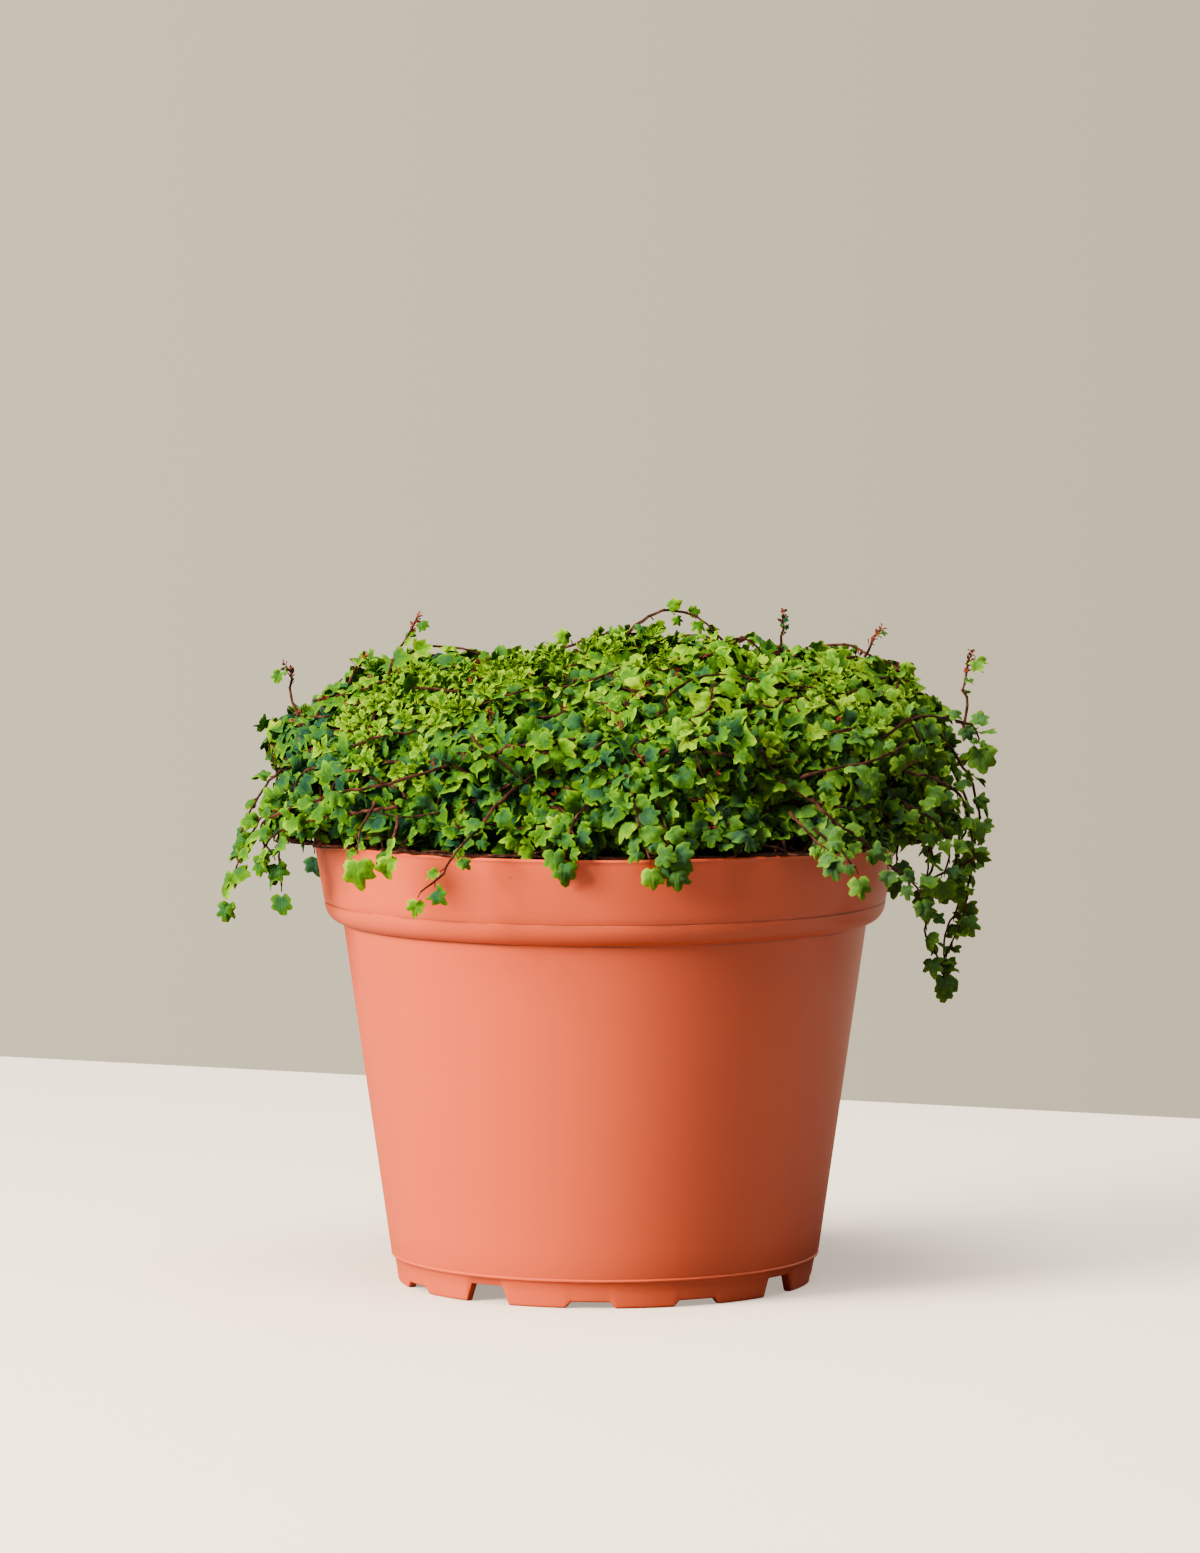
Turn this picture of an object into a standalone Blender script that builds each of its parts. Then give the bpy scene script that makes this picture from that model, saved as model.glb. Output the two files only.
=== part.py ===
"""A potted string of frogs: a creeping fig with small oak-shaped leaves, in a plastic grow pot.

Metres, +Z up. The origin is on the pot's axis, in the plane that its foot ring stands on.
-Y is the front and +X the right. The plant's dense mat of leaves is modelled as soft pads that
lie over the pot like a dome. Each runner rises from the potting mix, passes along the valley
between two pads and hangs over the pot's lip, where its last leaves are modelled one by one.
"""

import math
import random

import bmesh
import bpy
from mathutils import Matrix, Vector

MM = 0.001

# Grow pot
POT_HEIGHT = 116.5 * MM
LIP_RADIUS = 76.0 * MM
LIP_ROUND = 0.5 * MM
BAND_HEIGHT = 16.9 * MM
BAND_FOOT_RADIUS = 73.1 * MM
SHOULDER_HEIGHT = 5.5 * MM
BODY_TOP_RADIUS = 68.2 * MM
BODY_FOOT_RADIUS = 55.8 * MM
WALL = 1.2 * MM
FLOOR_THICKNESS = 1.4 * MM
FOOT_HEIGHT = 7.3 * MM
FOOT_STEP = 0.5 * MM
FOOT_RADIUS = 54.1 * MM
FOOT_RING_WIDTH = 2.2 * MM
FOOT_RECESS = 5.5 * MM
POT_SEGMENTS = 64
SHOULDER_SEGMENTS = 3

# Notches in the foot ring: every third one is a deep drain gap, the others are shallow
NOTCH_COUNT = 12
DRAIN_EVERY = 3
FIRST_DRAIN_DEG = 236.0
DRAIN_GAP = {"width": 13.0 * MM, "top": 9.5 * MM, "height": 4.8 * MM}
SHALLOW_GAP = {"width": 13.0 * MM, "top": 10.0 * MM, "height": 1.6 * MM}
FLOOR_HOLES = 8
FLOOR_HOLE_RADIUS = 3.5 * MM
FLOOR_HOLE_INSET = 10.0 * MM

# Potting mix
FIT_GAP = 0.3 * MM
MIX_BELOW_LIP = 3.5 * MM
MIX_CROWN = 2.5 * MM
MIX_SEGMENTS = 36

# Leaf mound
MOUND_HALF_WIDTH = 97.0 * MM
MOUND_HALF_DEPTH = 80.0 * MM
MOUND_HEIGHT = 56.0 * MM
MOUND_OVER_LIP = 1.0 * MM
MOUND_SQUARENESS = 3.0
MAT_SHARE = 0.50
CROWN_EDGE = 0.34
UPPER_EDGE = 0.74
UPPER_MATS = 6
OUTER_MATS = 12
PUFF = 2.0 * MM
RING_GAP = 1.2 * MM

# Runners
STEM_RADIUS = 1.0 * MM
STEM_CLEARANCE = 0.7 * MM
STEM_DEPTH = 3.0 * MM
HANG_OUT = 0.6 * MM
# How far each runner hangs below the lip, counter-clockwise from the right-hand one
RUNNER_HANG = [40 * MM, 10 * MM, 8 * MM, 14 * MM, 9 * MM, 12 * MM,
               17 * MM, 9 * MM, 15 * MM, 8 * MM, 11 * MM, 32 * MM]
SWAY = 3.0 * MM
SHOOT_VALLEY_DEG = 210.0
SHOOT_RISE = 5.0 * MM
SHOOT_STANDS = 50.0 * MM
SHOOT_BULGE = 8.0 * MM

# Leaves
LEAF_LENGTH = 11.0 * MM
LEAF_WIDTH = 9.5 * MM
LEAF_THICKNESS = 0.4 * MM
LEAF_SPACING = 12.0 * MM
LEAF_TILT_DEG = 15.0
LEAF_FAN_DEG = 55.0
LEAF_GAP = 0.3 * MM
# One side of the oak-shaped outline, from the petiole to the last notch before the tip,
# as shares of half the width and of the length
LEAF_HALF_OUTLINE = [(0.09, 0.00), (0.09, 0.22), (0.62, 0.20), (1.00, 0.34),
                     (0.64, 0.46), (0.84, 0.64), (0.44, 0.74)]

PLASTIC = ("terracotta_plastic", (0.72, 0.24, 0.14), 0.45)
PEAT = ("potting_mix", (0.05, 0.03, 0.02), 0.95)
BARK = ("runner_bark", (0.10, 0.04, 0.03), 0.75)
LEAF_GREEN = ("leaf_green", (0.12, 0.32, 0.03), 0.50)
MAT_GREEN = ("leaf_mat_green", (0.16, 0.38, 0.04), 0.60)

MOUND_BASE = POT_HEIGHT + MOUND_OVER_LIP
BAND_FOOT_Z = POT_HEIGHT - BAND_HEIGHT
BODY_TOP_Z = BAND_FOOT_Z - SHOULDER_HEIGHT
FLOOR_TOP = FOOT_RECESS + FLOOR_THICKNESS
VALLEY_HALF = STEM_RADIUS + STEM_CLEARANCE


def clear_scene():
    for obj in list(bpy.data.objects):
        bpy.data.objects.remove(obj)


def collection(name):
    made = bpy.data.collections.new(name)
    bpy.context.scene.collection.children.link(made)
    return made


def material(name, colour, roughness):
    made = bpy.data.materials.get(name)
    if made is None:
        made = bpy.data.materials.new(name)
        made.use_nodes = True
        shader = made.node_tree.nodes["Principled BSDF"]
        shader.inputs["Base Color"].default_value = (*colour, 1.0)
        shader.inputs["Roughness"].default_value = roughness
        shader.inputs["Metallic"].default_value = 0.0
    return made


def add_object(name, data, look, into):
    obj = bpy.data.objects.new(name, data)
    into.objects.link(obj)
    if look and not data.materials:
        data.materials.append(material(*look))
    return obj


# ---------------------------------------------------------------- pot and potting mix


def turned(name, profile, segments, look, into):
    """A solid of revolution: the profile is (radius, height) points from the axis to the axis."""
    mesh = bpy.data.meshes.new(name)
    points = [(radius, 0.0, height) for radius, height in profile]
    mesh.from_pydata(points, [(i, i + 1) for i in range(len(points) - 1)], [])
    obj = add_object(name, mesh, look, into)
    screw = obj.modifiers.new("turn", "SCREW")
    screw.axis = "Z"
    screw.angle = math.tau
    screw.steps = segments
    screw.render_steps = segments
    screw.use_merge_vertices = True
    screw.merge_threshold = 0.00005
    screw.use_smooth_shade = True
    return obj


def shoulder(outside):
    """The round under the rim band, from the band down to the body, moved in by `outside`."""
    points = []
    for step in range(SHOULDER_SEGMENTS + 1):
        turn = math.radians(90) * step / SHOULDER_SEGMENTS
        radius = BODY_TOP_RADIUS + (BAND_FOOT_RADIUS - BODY_TOP_RADIUS) * math.cos(turn)
        height = BAND_FOOT_Z - SHOULDER_HEIGHT * math.sin(turn)
        points.append((radius - outside, height + outside))
    return points


def wall_radius(height, inset):
    """Radius of the tapered body at a height, moved in by `inset`."""
    share = (height - FOOT_HEIGHT) / (BODY_TOP_Z - FOOT_HEIGHT)
    return BODY_FOOT_RADIUS + (BODY_TOP_RADIUS - BODY_FOOT_RADIUS) * share - inset


def band_radius(height, inset):
    """Radius of the tapered rim band at a height, moved in by `inset`."""
    share = (height - BAND_FOOT_Z) / BAND_HEIGHT
    return BAND_FOOT_RADIUS + (LIP_RADIUS - BAND_FOOT_RADIUS) * share - inset


def pot_profile():
    inside = [(0.0, FLOOR_TOP), (wall_radius(FLOOR_TOP, WALL), FLOOR_TOP)]
    inside += list(reversed(shoulder(WALL)))
    lip = [
        (LIP_RADIUS - WALL, POT_HEIGHT - LIP_ROUND),
        (LIP_RADIUS - WALL + LIP_ROUND, POT_HEIGHT),
        (LIP_RADIUS - LIP_ROUND, POT_HEIGHT),
        (LIP_RADIUS, POT_HEIGHT - LIP_ROUND),
    ]
    foot = [
        (BODY_FOOT_RADIUS, FOOT_HEIGHT),
        (BODY_FOOT_RADIUS - FOOT_STEP, FOOT_HEIGHT - FOOT_STEP),
        (FOOT_RADIUS, FOOT_STEP),
        (FOOT_RADIUS - FOOT_STEP, 0.0),
        (FOOT_RADIUS - FOOT_RING_WIDTH, 0.0),
        (FOOT_RADIUS - FOOT_RING_WIDTH, FOOT_RECESS),
        (0.0, FOOT_RECESS),
    ]
    return inside + lip + shoulder(0.0) + foot


def notch_cutter(name, gap, turn_deg, into):
    """A wedge that is wider at the table than at its top, across the foot ring."""
    mesh = bpy.data.meshes.new(name)
    bm = bmesh.new()
    bmesh.ops.create_cube(bm, size=1.0)
    for vert in bm.verts:
        width = gap["top"] if vert.co.z > 0 else 2 * gap["width"] - gap["top"]
        vert.co.y *= width
        vert.co.x *= 3 * FOOT_RING_WIDTH + 2 * (BODY_FOOT_RADIUS - FOOT_RADIUS)
        vert.co.z = gap["height"] if vert.co.z > 0 else -gap["height"]
    bm.to_mesh(mesh)
    bm.free()
    obj = add_object(name, mesh, None, into)
    turn = math.radians(turn_deg)
    centre = FOOT_RADIUS - FOOT_RING_WIDTH / 2
    obj.location = (centre * math.cos(turn), centre * math.sin(turn), 0.0)
    obj.rotation_euler = (0.0, 0.0, turn)
    return obj


def floor_hole_cutter(name, turn, into):
    mesh = bpy.data.meshes.new(name)
    bm = bmesh.new()
    bmesh.ops.create_cone(
        bm, cap_ends=True, segments=16, radius1=FLOOR_HOLE_RADIUS,
        radius2=FLOOR_HOLE_RADIUS, depth=4 * FLOOR_THICKNESS,
    )
    bm.to_mesh(mesh)
    bm.free()
    obj = add_object(name, mesh, None, into)
    ring = FOOT_RADIUS - FOOT_RING_WIDTH - FLOOR_HOLE_INSET
    obj.location = (
        ring * math.cos(turn), ring * math.sin(turn), FOOT_RECESS + FLOOR_THICKNESS / 2,
    )
    return obj


def grow_pot(into, cutters):
    """Thin moulded pot: tapered body, rim band with a rounded shoulder, notched foot ring."""
    pot = turned("grow_pot", pot_profile(), POT_SEGMENTS, PLASTIC, into)
    for index in range(NOTCH_COUNT):
        gap = SHALLOW_GAP if index % DRAIN_EVERY else DRAIN_GAP
        turn_deg = FIRST_DRAIN_DEG + index * 360.0 / NOTCH_COUNT
        notch_cutter(f"cut_notch_{index + 1:02d}", gap, turn_deg, cutters)
    for index in range(FLOOR_HOLES):
        turn = math.tau * (index + 0.5) / FLOOR_HOLES
        floor_hole_cutter(f"cut_floor_hole_{index + 1}", turn, cutters)
    for cutter in cutters.objects:
        cutter.hide_render = True
        cutter.display_type = "WIRE"
    cut = pot.modifiers.new("notches_and_holes", "BOOLEAN")
    cut.operation = "DIFFERENCE"
    cut.operand_type = "COLLECTION"
    cut.collection = cutters
    cut.solver = "EXACT"
    return pot


def mix_top(radius):
    """Height of the potting mix: a low crown that falls away towards the pot's wall."""
    edge = POT_HEIGHT - MIX_BELOW_LIP
    share = min(1.0, radius / band_radius(edge, WALL + FIT_GAP))
    return edge + MIX_CROWN * (1.0 - share * share)


def potting_mix(into):
    """The filling of the pot, shaped by the pot's inside."""
    edge = POT_HEIGHT - MIX_BELOW_LIP
    rim = band_radius(edge, WALL + FIT_GAP)
    crown = [(rim * share, mix_top(rim * share)) for share in (0.0, 0.35, 0.7)]
    floor = FLOOR_TOP + FIT_GAP
    side = [(rim, edge), *shoulder(WALL + FIT_GAP), (wall_radius(floor, WALL + FIT_GAP), floor)]
    return turned("potting_mix", [*crown, *side, (0.0, floor)], MIX_SEGMENTS, PEAT, into)


# ---------------------------------------------------------------- leaf mound


def fall_at(edge):
    """The dome's fall angle, 0 at the crown and 90 degrees at the skirt, at a share of its reach."""
    return math.asin(min(1.0, edge) ** (MOUND_SQUARENESS / 2))


def ray(turn):
    """The level vector from the axis to the mound's skirt at a turn."""
    return Vector((MOUND_HALF_WIDTH * math.cos(turn), MOUND_HALF_DEPTH * math.sin(turn), 0.0))


def mound_point(turn, fall, inner=0.0, puff=0.0):
    """A point of the squarish dome; inner 0 is its skin and 1 its middle, puff swells it."""
    reach = math.sin(fall) ** (2 / MOUND_SQUARENESS)
    rise = max(0.0, math.cos(fall)) ** (2 / MOUND_SQUARENESS)
    point = ray(turn) * reach * (1 - inner)
    point.z = (MOUND_HEIGHT * (1 - inner) + puff * (1 - inner)) * rise + MOUND_BASE
    return point


def pad(name, place, into):
    """A soft pad: a coarse box cage, each corner moved by `place`, rounded by subdivision."""
    mesh = bpy.data.meshes.new(name)
    bm = bmesh.new()
    bmesh.ops.create_cube(bm, size=2.0)
    bmesh.ops.subdivide_edges(bm, edges=bm.edges[:], cuts=1, use_grid_fill=True)
    for vert in bm.verts:
        vert.co = place(*vert.co)
    bm.to_mesh(mesh)
    bm.free()
    mesh.shade_smooth()
    obj = add_object(name, mesh, MAT_GREEN, into)
    soften = obj.modifiers.new("soften", "SUBSURF")
    soften.levels = 1
    soften.render_levels = 1
    return obj


def sector_pad(name, turn, half_turn, edges, puff, into):
    """A pad of the dome between two valleys and between two shares of its reach."""
    low, high = edges

    def place(across, along, up):
        fall = fall_at(low + (high - low) * (along + 1) / 2)
        inner = MAT_SHARE * (1 - up) / 2
        side_turn = turn - half_turn * across
        outward = ray(side_turn).normalized()
        from_valley = Vector((-outward.y, outward.x, 0.0)) * across * VALLEY_HALF
        return mound_point(side_turn, fall, inner, puff) + from_valley

    return pad(name, place, into)


def crown_pad(name, edge, into):
    """The round pad on top: the box's square outline is drawn out to a circle."""

    def place(across, along, up):
        inner = MAT_SHARE * (1 - up) / 2
        level = Vector((
            across * math.sqrt(1 - along * along / 2), along * math.sqrt(1 - across * across / 2),
        ))
        return mound_point(math.atan2(level.y, level.x), fall_at(edge * level.length), inner)

    return pad(name, place, into)


def leaf_mats(into):
    """The mound's pads: one on the crown, a ring round it, and a ring that reaches the skirt."""
    puffs = random.Random(7)
    gap = RING_GAP / 2 / MOUND_HALF_DEPTH
    crown_pad("leaf_mat_crown", CROWN_EDGE - gap, into)
    rings = [
        ("leaf_mat_upper", UPPER_MATS, (CROWN_EDGE + gap, UPPER_EDGE - gap)),
        ("leaf_mat_outer", OUTER_MATS, (UPPER_EDGE + gap, 1.0)),
    ]
    for title, count, edges in rings:
        half_turn = math.pi / count
        first = math.radians(SHOOT_VALLEY_DEG) + half_turn
        for index in range(count):
            puff = puffs.uniform(-PUFF, PUFF)
            turn = first + 2 * half_turn * index
            sector_pad(f"{title}_{index + 1:02d}", turn, half_turn, edges, puff, into)


# ---------------------------------------------------------------- runners and leaves


def smooth_path(points, steps=3):
    """Points on a Catmull-Rom curve through the given ones."""
    ends = [2 * points[0] - points[1], *points, 2 * points[-1] - points[-2]]
    path = []
    for index in range(1, len(ends) - 2):
        before, start, end, after = ends[index - 1:index + 3]
        for step in range(steps):
            t = step / steps
            path.append(0.5 * (
                2 * start + (end - before) * t
                + (2 * before - 5 * start + 4 * end - after) * t * t
                + (3 * start - before - 3 * end + after) * t * t * t
            ))
    return [*path, points[-1]]


def stem(name, path, into):
    """A round woody stem along a path, with closed ends."""
    curve = bpy.data.curves.new(name, "CURVE")
    curve.dimensions = "3D"
    curve.bevel_depth = STEM_RADIUS
    curve.bevel_resolution = 1
    curve.use_fill_caps = True
    spline = curve.splines.new("POLY")
    spline.points.add(len(path) - 1)
    for point, place in zip(spline.points, path):
        point.co = (*place, 1.0)
    return add_object(name, curve, BARK, into)


def leaf_outline():
    """A 2D curve of the oak-shaped blade with its petiole, base at the origin, tip along +Y."""
    half = [(x * LEAF_WIDTH / 2, y * LEAF_LENGTH) for x, y in LEAF_HALF_OUTLINE]
    outline = [*half, (0.0, LEAF_LENGTH), *[(-x, y) for x, y in reversed(half)]]
    curve = bpy.data.curves.new("leaf", "CURVE")
    curve.dimensions = "2D"
    curve.fill_mode = "BOTH"
    curve.extrude = LEAF_THICKNESS / 2
    spline = curve.splines.new("POLY")
    spline.points.add(len(outline) - 1)
    for point, place in zip(spline.points, outline):
        point.co = (*place, 0.0, 1.0)
    spline.use_cyclic_u = True
    curve.materials.append(material(*LEAF_GREEN))
    return curve


def leaf(name, blade, node, outward, fan_deg, into):
    """A leaf on a hanging stem: it fans out from straight down, and its tip tilts outwards."""
    fan, tilt = math.radians(fan_deg), math.radians(LEAF_TILT_DEG)
    across = Vector((0.0, 0.0, 1.0)).cross(outward)
    down = Vector((0.0, 0.0, -1.0)) * math.cos(fan) + across * math.sin(fan)
    along = down * math.cos(tilt) + outward * math.sin(tilt)
    normal = outward * math.cos(tilt) - down * math.sin(tilt)
    obj = add_object(name, blade, None, into)
    turned_to = Matrix((along.cross(normal), along, normal)).transposed()
    stand_off = STEM_RADIUS + LEAF_GAP + LEAF_THICKNESS
    obj.matrix_world = Matrix.Translation(node + outward * stand_off) @ turned_to.to_4x4()
    return obj


def runner_path(turn, hang, sway):
    """From the mix up to the mound's skin, down its valley, and over the lip."""
    skirt = ray(turn)
    outward = skirt.normalized()
    side = Vector((0.0, 0.0, 1.0)).cross(outward)
    root = skirt * 0.62
    root.z = mix_top(root.length) + FIT_GAP
    inside = skirt * 0.66
    inside.z = MOUND_BASE + MOUND_HEIGHT * 0.30
    rise = skirt * 0.76
    rise.z = MOUND_BASE + MOUND_HEIGHT * 0.70
    skin = [mound_point(turn, math.radians(deg)) for deg in (53, 68, 80)]
    for point in skin:
        point -= outward * STEM_DEPTH / 2
        point.z -= STEM_DEPTH
    edge = skirt + outward * HANG_OUT
    hanging = []
    for share, swing in ((0.0, 0.0), (0.35, 1.0), (0.7, -1.0), (1.0, 0.0)):
        point = edge + side * sway * swing * hang / max(RUNNER_HANG)
        point.z = POT_HEIGHT - hang * share
        hanging.append(point)
    return [root, inside, rise, *skin, *hanging], outward


def runners(into):
    """Runners with the last leaves of each: one at its tip, then by turns left and right."""
    blade = leaf_outline()
    number = 0
    for index, hang in enumerate(RUNNER_HANG):
        turn = math.tau * index / len(RUNNER_HANG)
        route, outward = runner_path(turn, hang, SWAY)
        path = smooth_path(route)
        stem(f"runner_{index + 1:02d}", path, into)
        walked, due, fan = 0.0, 0.0, 0.0
        for node, above in zip(reversed(path), reversed(path[:-1])):
            if walked >= due and node.z < POT_HEIGHT:
                number += 1
                leaf(f"leaf_{number:02d}", blade, node, outward, fan, into)
                due += LEAF_SPACING
                fan = -fan if fan else LEAF_FAN_DEG
            walked += (above - node).length
    return blade


def upright_shoot(blade, into):
    """The one young shoot that stands up out of the mound, with a leaf near its tip."""
    turn = math.radians(SHOOT_VALLEY_DEG)
    outward = ray(turn).normalized()
    foot = outward * SHOOT_STANDS
    foot.z = mix_top(foot.length) + FIT_GAP
    top = POT_HEIGHT + MOUND_OVER_LIP + MOUND_HEIGHT + SHOOT_RISE
    middle = outward * (SHOOT_STANDS + SHOOT_BULGE)
    middle.z = MOUND_BASE + MOUND_HEIGHT * 0.6
    tip = outward * (SHOOT_STANDS + SHOOT_BULGE / 2)
    tip.z = top
    path = smooth_path([foot, middle, tip])
    stem("upright_shoot", path, into)
    leaf("upright_shoot_leaf", blade, path[-1], outward, 0.0, into)


def main():
    clear_scene()
    plant = collection("potted_string_of_frogs")
    cutters = collection("cutters")
    grow_pot(plant, cutters)
    potting_mix(plant)
    leaf_mats(plant)
    blade = runners(plant)
    upright_shoot(blade, plant)


main()
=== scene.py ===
"""A potted string of frogs, made round its CAD frame: the grow pot, its potting mix, and a creeping
fig whose runners, leaves and new growth are surfaces worked out with numpy.

Metres, +Z up, -Y the front. The mound's skin is a squarish dome over the pot's lip. Runners creep
over the dome, leaves stand on the runners, and some runners trail over the lip.
"""

import functools
import math

import bpy
import numpy as np
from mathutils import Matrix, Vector


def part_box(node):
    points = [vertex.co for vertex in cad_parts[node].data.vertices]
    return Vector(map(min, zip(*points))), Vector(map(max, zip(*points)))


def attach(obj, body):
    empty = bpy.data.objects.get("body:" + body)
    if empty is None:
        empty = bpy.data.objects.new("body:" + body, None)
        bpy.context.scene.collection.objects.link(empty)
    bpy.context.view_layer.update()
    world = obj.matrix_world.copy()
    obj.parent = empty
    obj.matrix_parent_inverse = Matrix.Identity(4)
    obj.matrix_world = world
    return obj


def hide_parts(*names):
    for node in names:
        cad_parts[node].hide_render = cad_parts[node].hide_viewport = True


bl_info = {
    "name": "Potted string of frogs",
    "version": (1, 0, 0),
    "blender": (4, 5, 0),
    "location": "3D View > Sidebar > Frogs",
    "description": "Makes a creeping fig in a plastic grow pot round its CAD frame",
    "category": "Add Mesh",
}

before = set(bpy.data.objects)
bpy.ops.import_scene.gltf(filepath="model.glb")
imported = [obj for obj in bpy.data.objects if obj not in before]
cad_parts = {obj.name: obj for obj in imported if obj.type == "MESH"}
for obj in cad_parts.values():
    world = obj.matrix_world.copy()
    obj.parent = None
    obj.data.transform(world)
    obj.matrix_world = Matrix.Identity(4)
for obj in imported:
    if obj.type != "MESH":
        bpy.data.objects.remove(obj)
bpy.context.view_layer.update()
POT_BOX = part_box("grow_pot")
MIX_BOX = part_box("potting_mix")
LIP_TOP = POT_BOX[1].z
LIP_RADIUS = POT_BOX[1].x
MM = 0.001
UP = np.array([0.0, 0.0, 1.0])
GOLDEN_TURN = math.pi * (3 - math.sqrt(5))


# ---- settings


def length(name, description, default):
    return bpy.props.FloatProperty(
        name=name, description=description, default=default, min=0.0, unit="LENGTH", precision=5,
    )


def count(name, description, default):
    return bpy.props.IntProperty(name=name, description=description, default=default, min=1)


def colour(name, description, hex_colour):
    return bpy.props.FloatVectorProperty(
        name=name, description=description, default=linear(hex_colour)[:3], size=3,
        subtype="COLOR", min=0.0, max=1.0,
    )


def linear(hex_colour):
    """sRGB hex to linear RGBA: up to 0.04045 divided by 12.92, above that the 2.4 power."""
    parts = [int(hex_colour[start:start + 2], 16) / 255 for start in (1, 3, 5)]
    curve = [part / 12.92 if part <= 0.04045 else ((part + 0.055) / 1.055) ** 2.4 for part in parts]
    return (*curve, 1.0)


class PotSettings(bpy.types.PropertyGroup):
    lip_radius: length("Lip radius", "Outer radius at the top of the rim band", LIP_RADIUS)
    wall: length("Wall", "Thickness of the moulded wall", 1.2 * MM)
    band: length("Rim band", "Height of the rim band", 16.9 * MM)
    foot: length("Foot", "Height of the foot ring under the lower ledge", 7.3 * MM)
    plastic: colour("Plastic", "Terracotta colour moulded through the plastic", "#ca4c29")


class PlantSettings(bpy.types.PropertyGroup):
    left_width: length("Left width", "Reach of the mound to the left", 84.5 * MM)
    right_width: length("Right width", "Reach of the mound to the right", 88 * MM)
    front_depth: length("Front depth", "Reach of the mound to the front", 72 * MM)
    back_depth: length("Back depth", "Reach of the mound to the back", 78 * MM)
    height: length("Height", "Height of the mound over the pot's lip", 44 * MM)
    spacing: length("Node spacing", "Distance between two leaf nodes on a runner", 3.7 * MM)
    leaf_length: length("Leaf length", "Length of a grown leaf's blade", 6.1 * MM)
    runners: count("Runners", "Runners that creep in the mound's skin", 350)
    over_runners: count("Upper runners", "Sparse runners that arch over the skin", 44)
    inner_runners: count("Inner runners", "Older runners under the mound's skin", 95)
    tufts: count("Tufts", "Tufts of tiny new leaves", 140)
    buds: count("Buds", "Rosy buds at the tips of runners", 120)


class StageSettings(bpy.types.PropertyGroup):
    table: colour("Table", "Colour of the pale table", "#ecdfcf")
    wall: colour("Backdrop", "Colour behind the table", "#f9e8c6")


# ---- meshes and materials


def feed(node, inputs):
    """Gives a node's inputs, by name or in their order, each its value or its link."""
    for key, value in inputs.items() if isinstance(inputs, dict) else enumerate(inputs):
        if isinstance(value, bpy.types.NodeSocket):
            node.id_data.links.new(value, node.inputs[key])
        else:
            node.inputs[key].default_value = value


def add_node(tree, kind, inputs=(), out=0, ramp=(), **settings):
    """Adds a shader node, sets its properties and ramp, feeds it, and gives one of its outputs."""
    made = tree.nodes.new("ShaderNode" + kind)
    for name, value in settings.items():
        setattr(made, name, value)
    feed(made, inputs)
    for index, (place, hex_colour) in enumerate(ramp):
        stops = made.color_ramp.elements
        stop = stops[index] if index < 2 else stops.new(place)
        stop.position = place
        stop.color = linear(hex_colour)
    return made.outputs[out]


def new_material(name):
    """An empty node material, its Principled shader, and the call that adds a node to it."""
    made = bpy.data.materials.new(name)
    made.use_nodes = True
    tree = made.node_tree
    return made, tree.nodes["Principled BSDF"], functools.partial(add_node, tree)


def grained(name, scale, detail, ramp, finish, bump=None):
    """A natural surface whose colour, and its bumps if it has them, follow one grain of noise."""
    made, shader, node = new_material(name)
    place = node("TexCoord", out="Object")
    grain = node("TexNoise", {"Vector": place, "Scale": scale, "Detail": detail})
    feed(shader, {"Base Color": node("ValToRGB", {"Fac": grain}, ramp=ramp), **finish})
    if bump:
        strength, depth = bump
        feed(shader, {"Normal": node("Bump", {
            "Height": grain, "Strength": strength, "Distance": depth,
        })})
    return made


def clouded(node, place, scale, detail, colour, share):
    """A colour with soft clouds in which it falls to a share of itself."""
    dimmed = (*(part * share for part in colour[:3]), 1.0)
    clouds = node("TexNoise", {"Vector": place, "Scale": scale, "Detail": detail})
    return node("Mix", {"Factor": clouds, "A": colour, "B": dimmed}, "Result", data_type="RGBA")


def new_piece(name, points, faces, material, sharp_deg=60):
    """A mesh object from an array of points and one array of faces for each corner count."""
    mesh = bpy.data.meshes.new(name)
    corners = np.concatenate([part.ravel() for part in faces]).astype(np.int32)
    sizes = np.concatenate([np.full(len(part), part.shape[1]) for part in faces])
    starts = np.concatenate([[0], np.cumsum(sizes)[:-1]]).astype(np.int32)
    mesh.vertices.add(len(points))
    mesh.vertices.foreach_set("co", np.asarray(points, np.float32).ravel())
    mesh.loops.add(len(corners))
    mesh.loops.foreach_set("vertex_index", corners)
    mesh.polygons.add(len(sizes))
    mesh.polygons.foreach_set("loop_start", starts)
    mesh.update(calc_edges=True)
    mesh.validate()
    mesh.shade_smooth()
    mesh.set_sharp_from_angle(angle=math.radians(sharp_deg))
    mesh.materials.append(material)
    piece = bpy.data.objects.new(name, mesh)
    bpy.context.scene.collection.objects.link(piece)
    return piece


def settle(piece, nodes):
    """The piece rides on the part's one body and stands for CAD nodes, which it hides."""
    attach(piece, "root")
    if nodes:
        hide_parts(*nodes)


def grid_faces(rows, columns, wrap):
    """Quads between a grid's rows and columns; `wrap` joins the last column to the first."""
    row = np.arange(rows - 1)[:, None]
    column = np.arange(columns if wrap else columns - 1)[None, :]
    after = (column + 1) % columns
    corners = [row * columns + column, row * columns + after,
               (row + 1) * columns + after, (row + 1) * columns + column]
    return np.stack(np.broadcast_arrays(*corners), -1).reshape(-1, 4)


def fan(pole, first, second):
    """Triangles from a pole to the edges between two equally long lists of points."""
    return np.stack([np.full(len(first), pole), first, second], -1)


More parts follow.
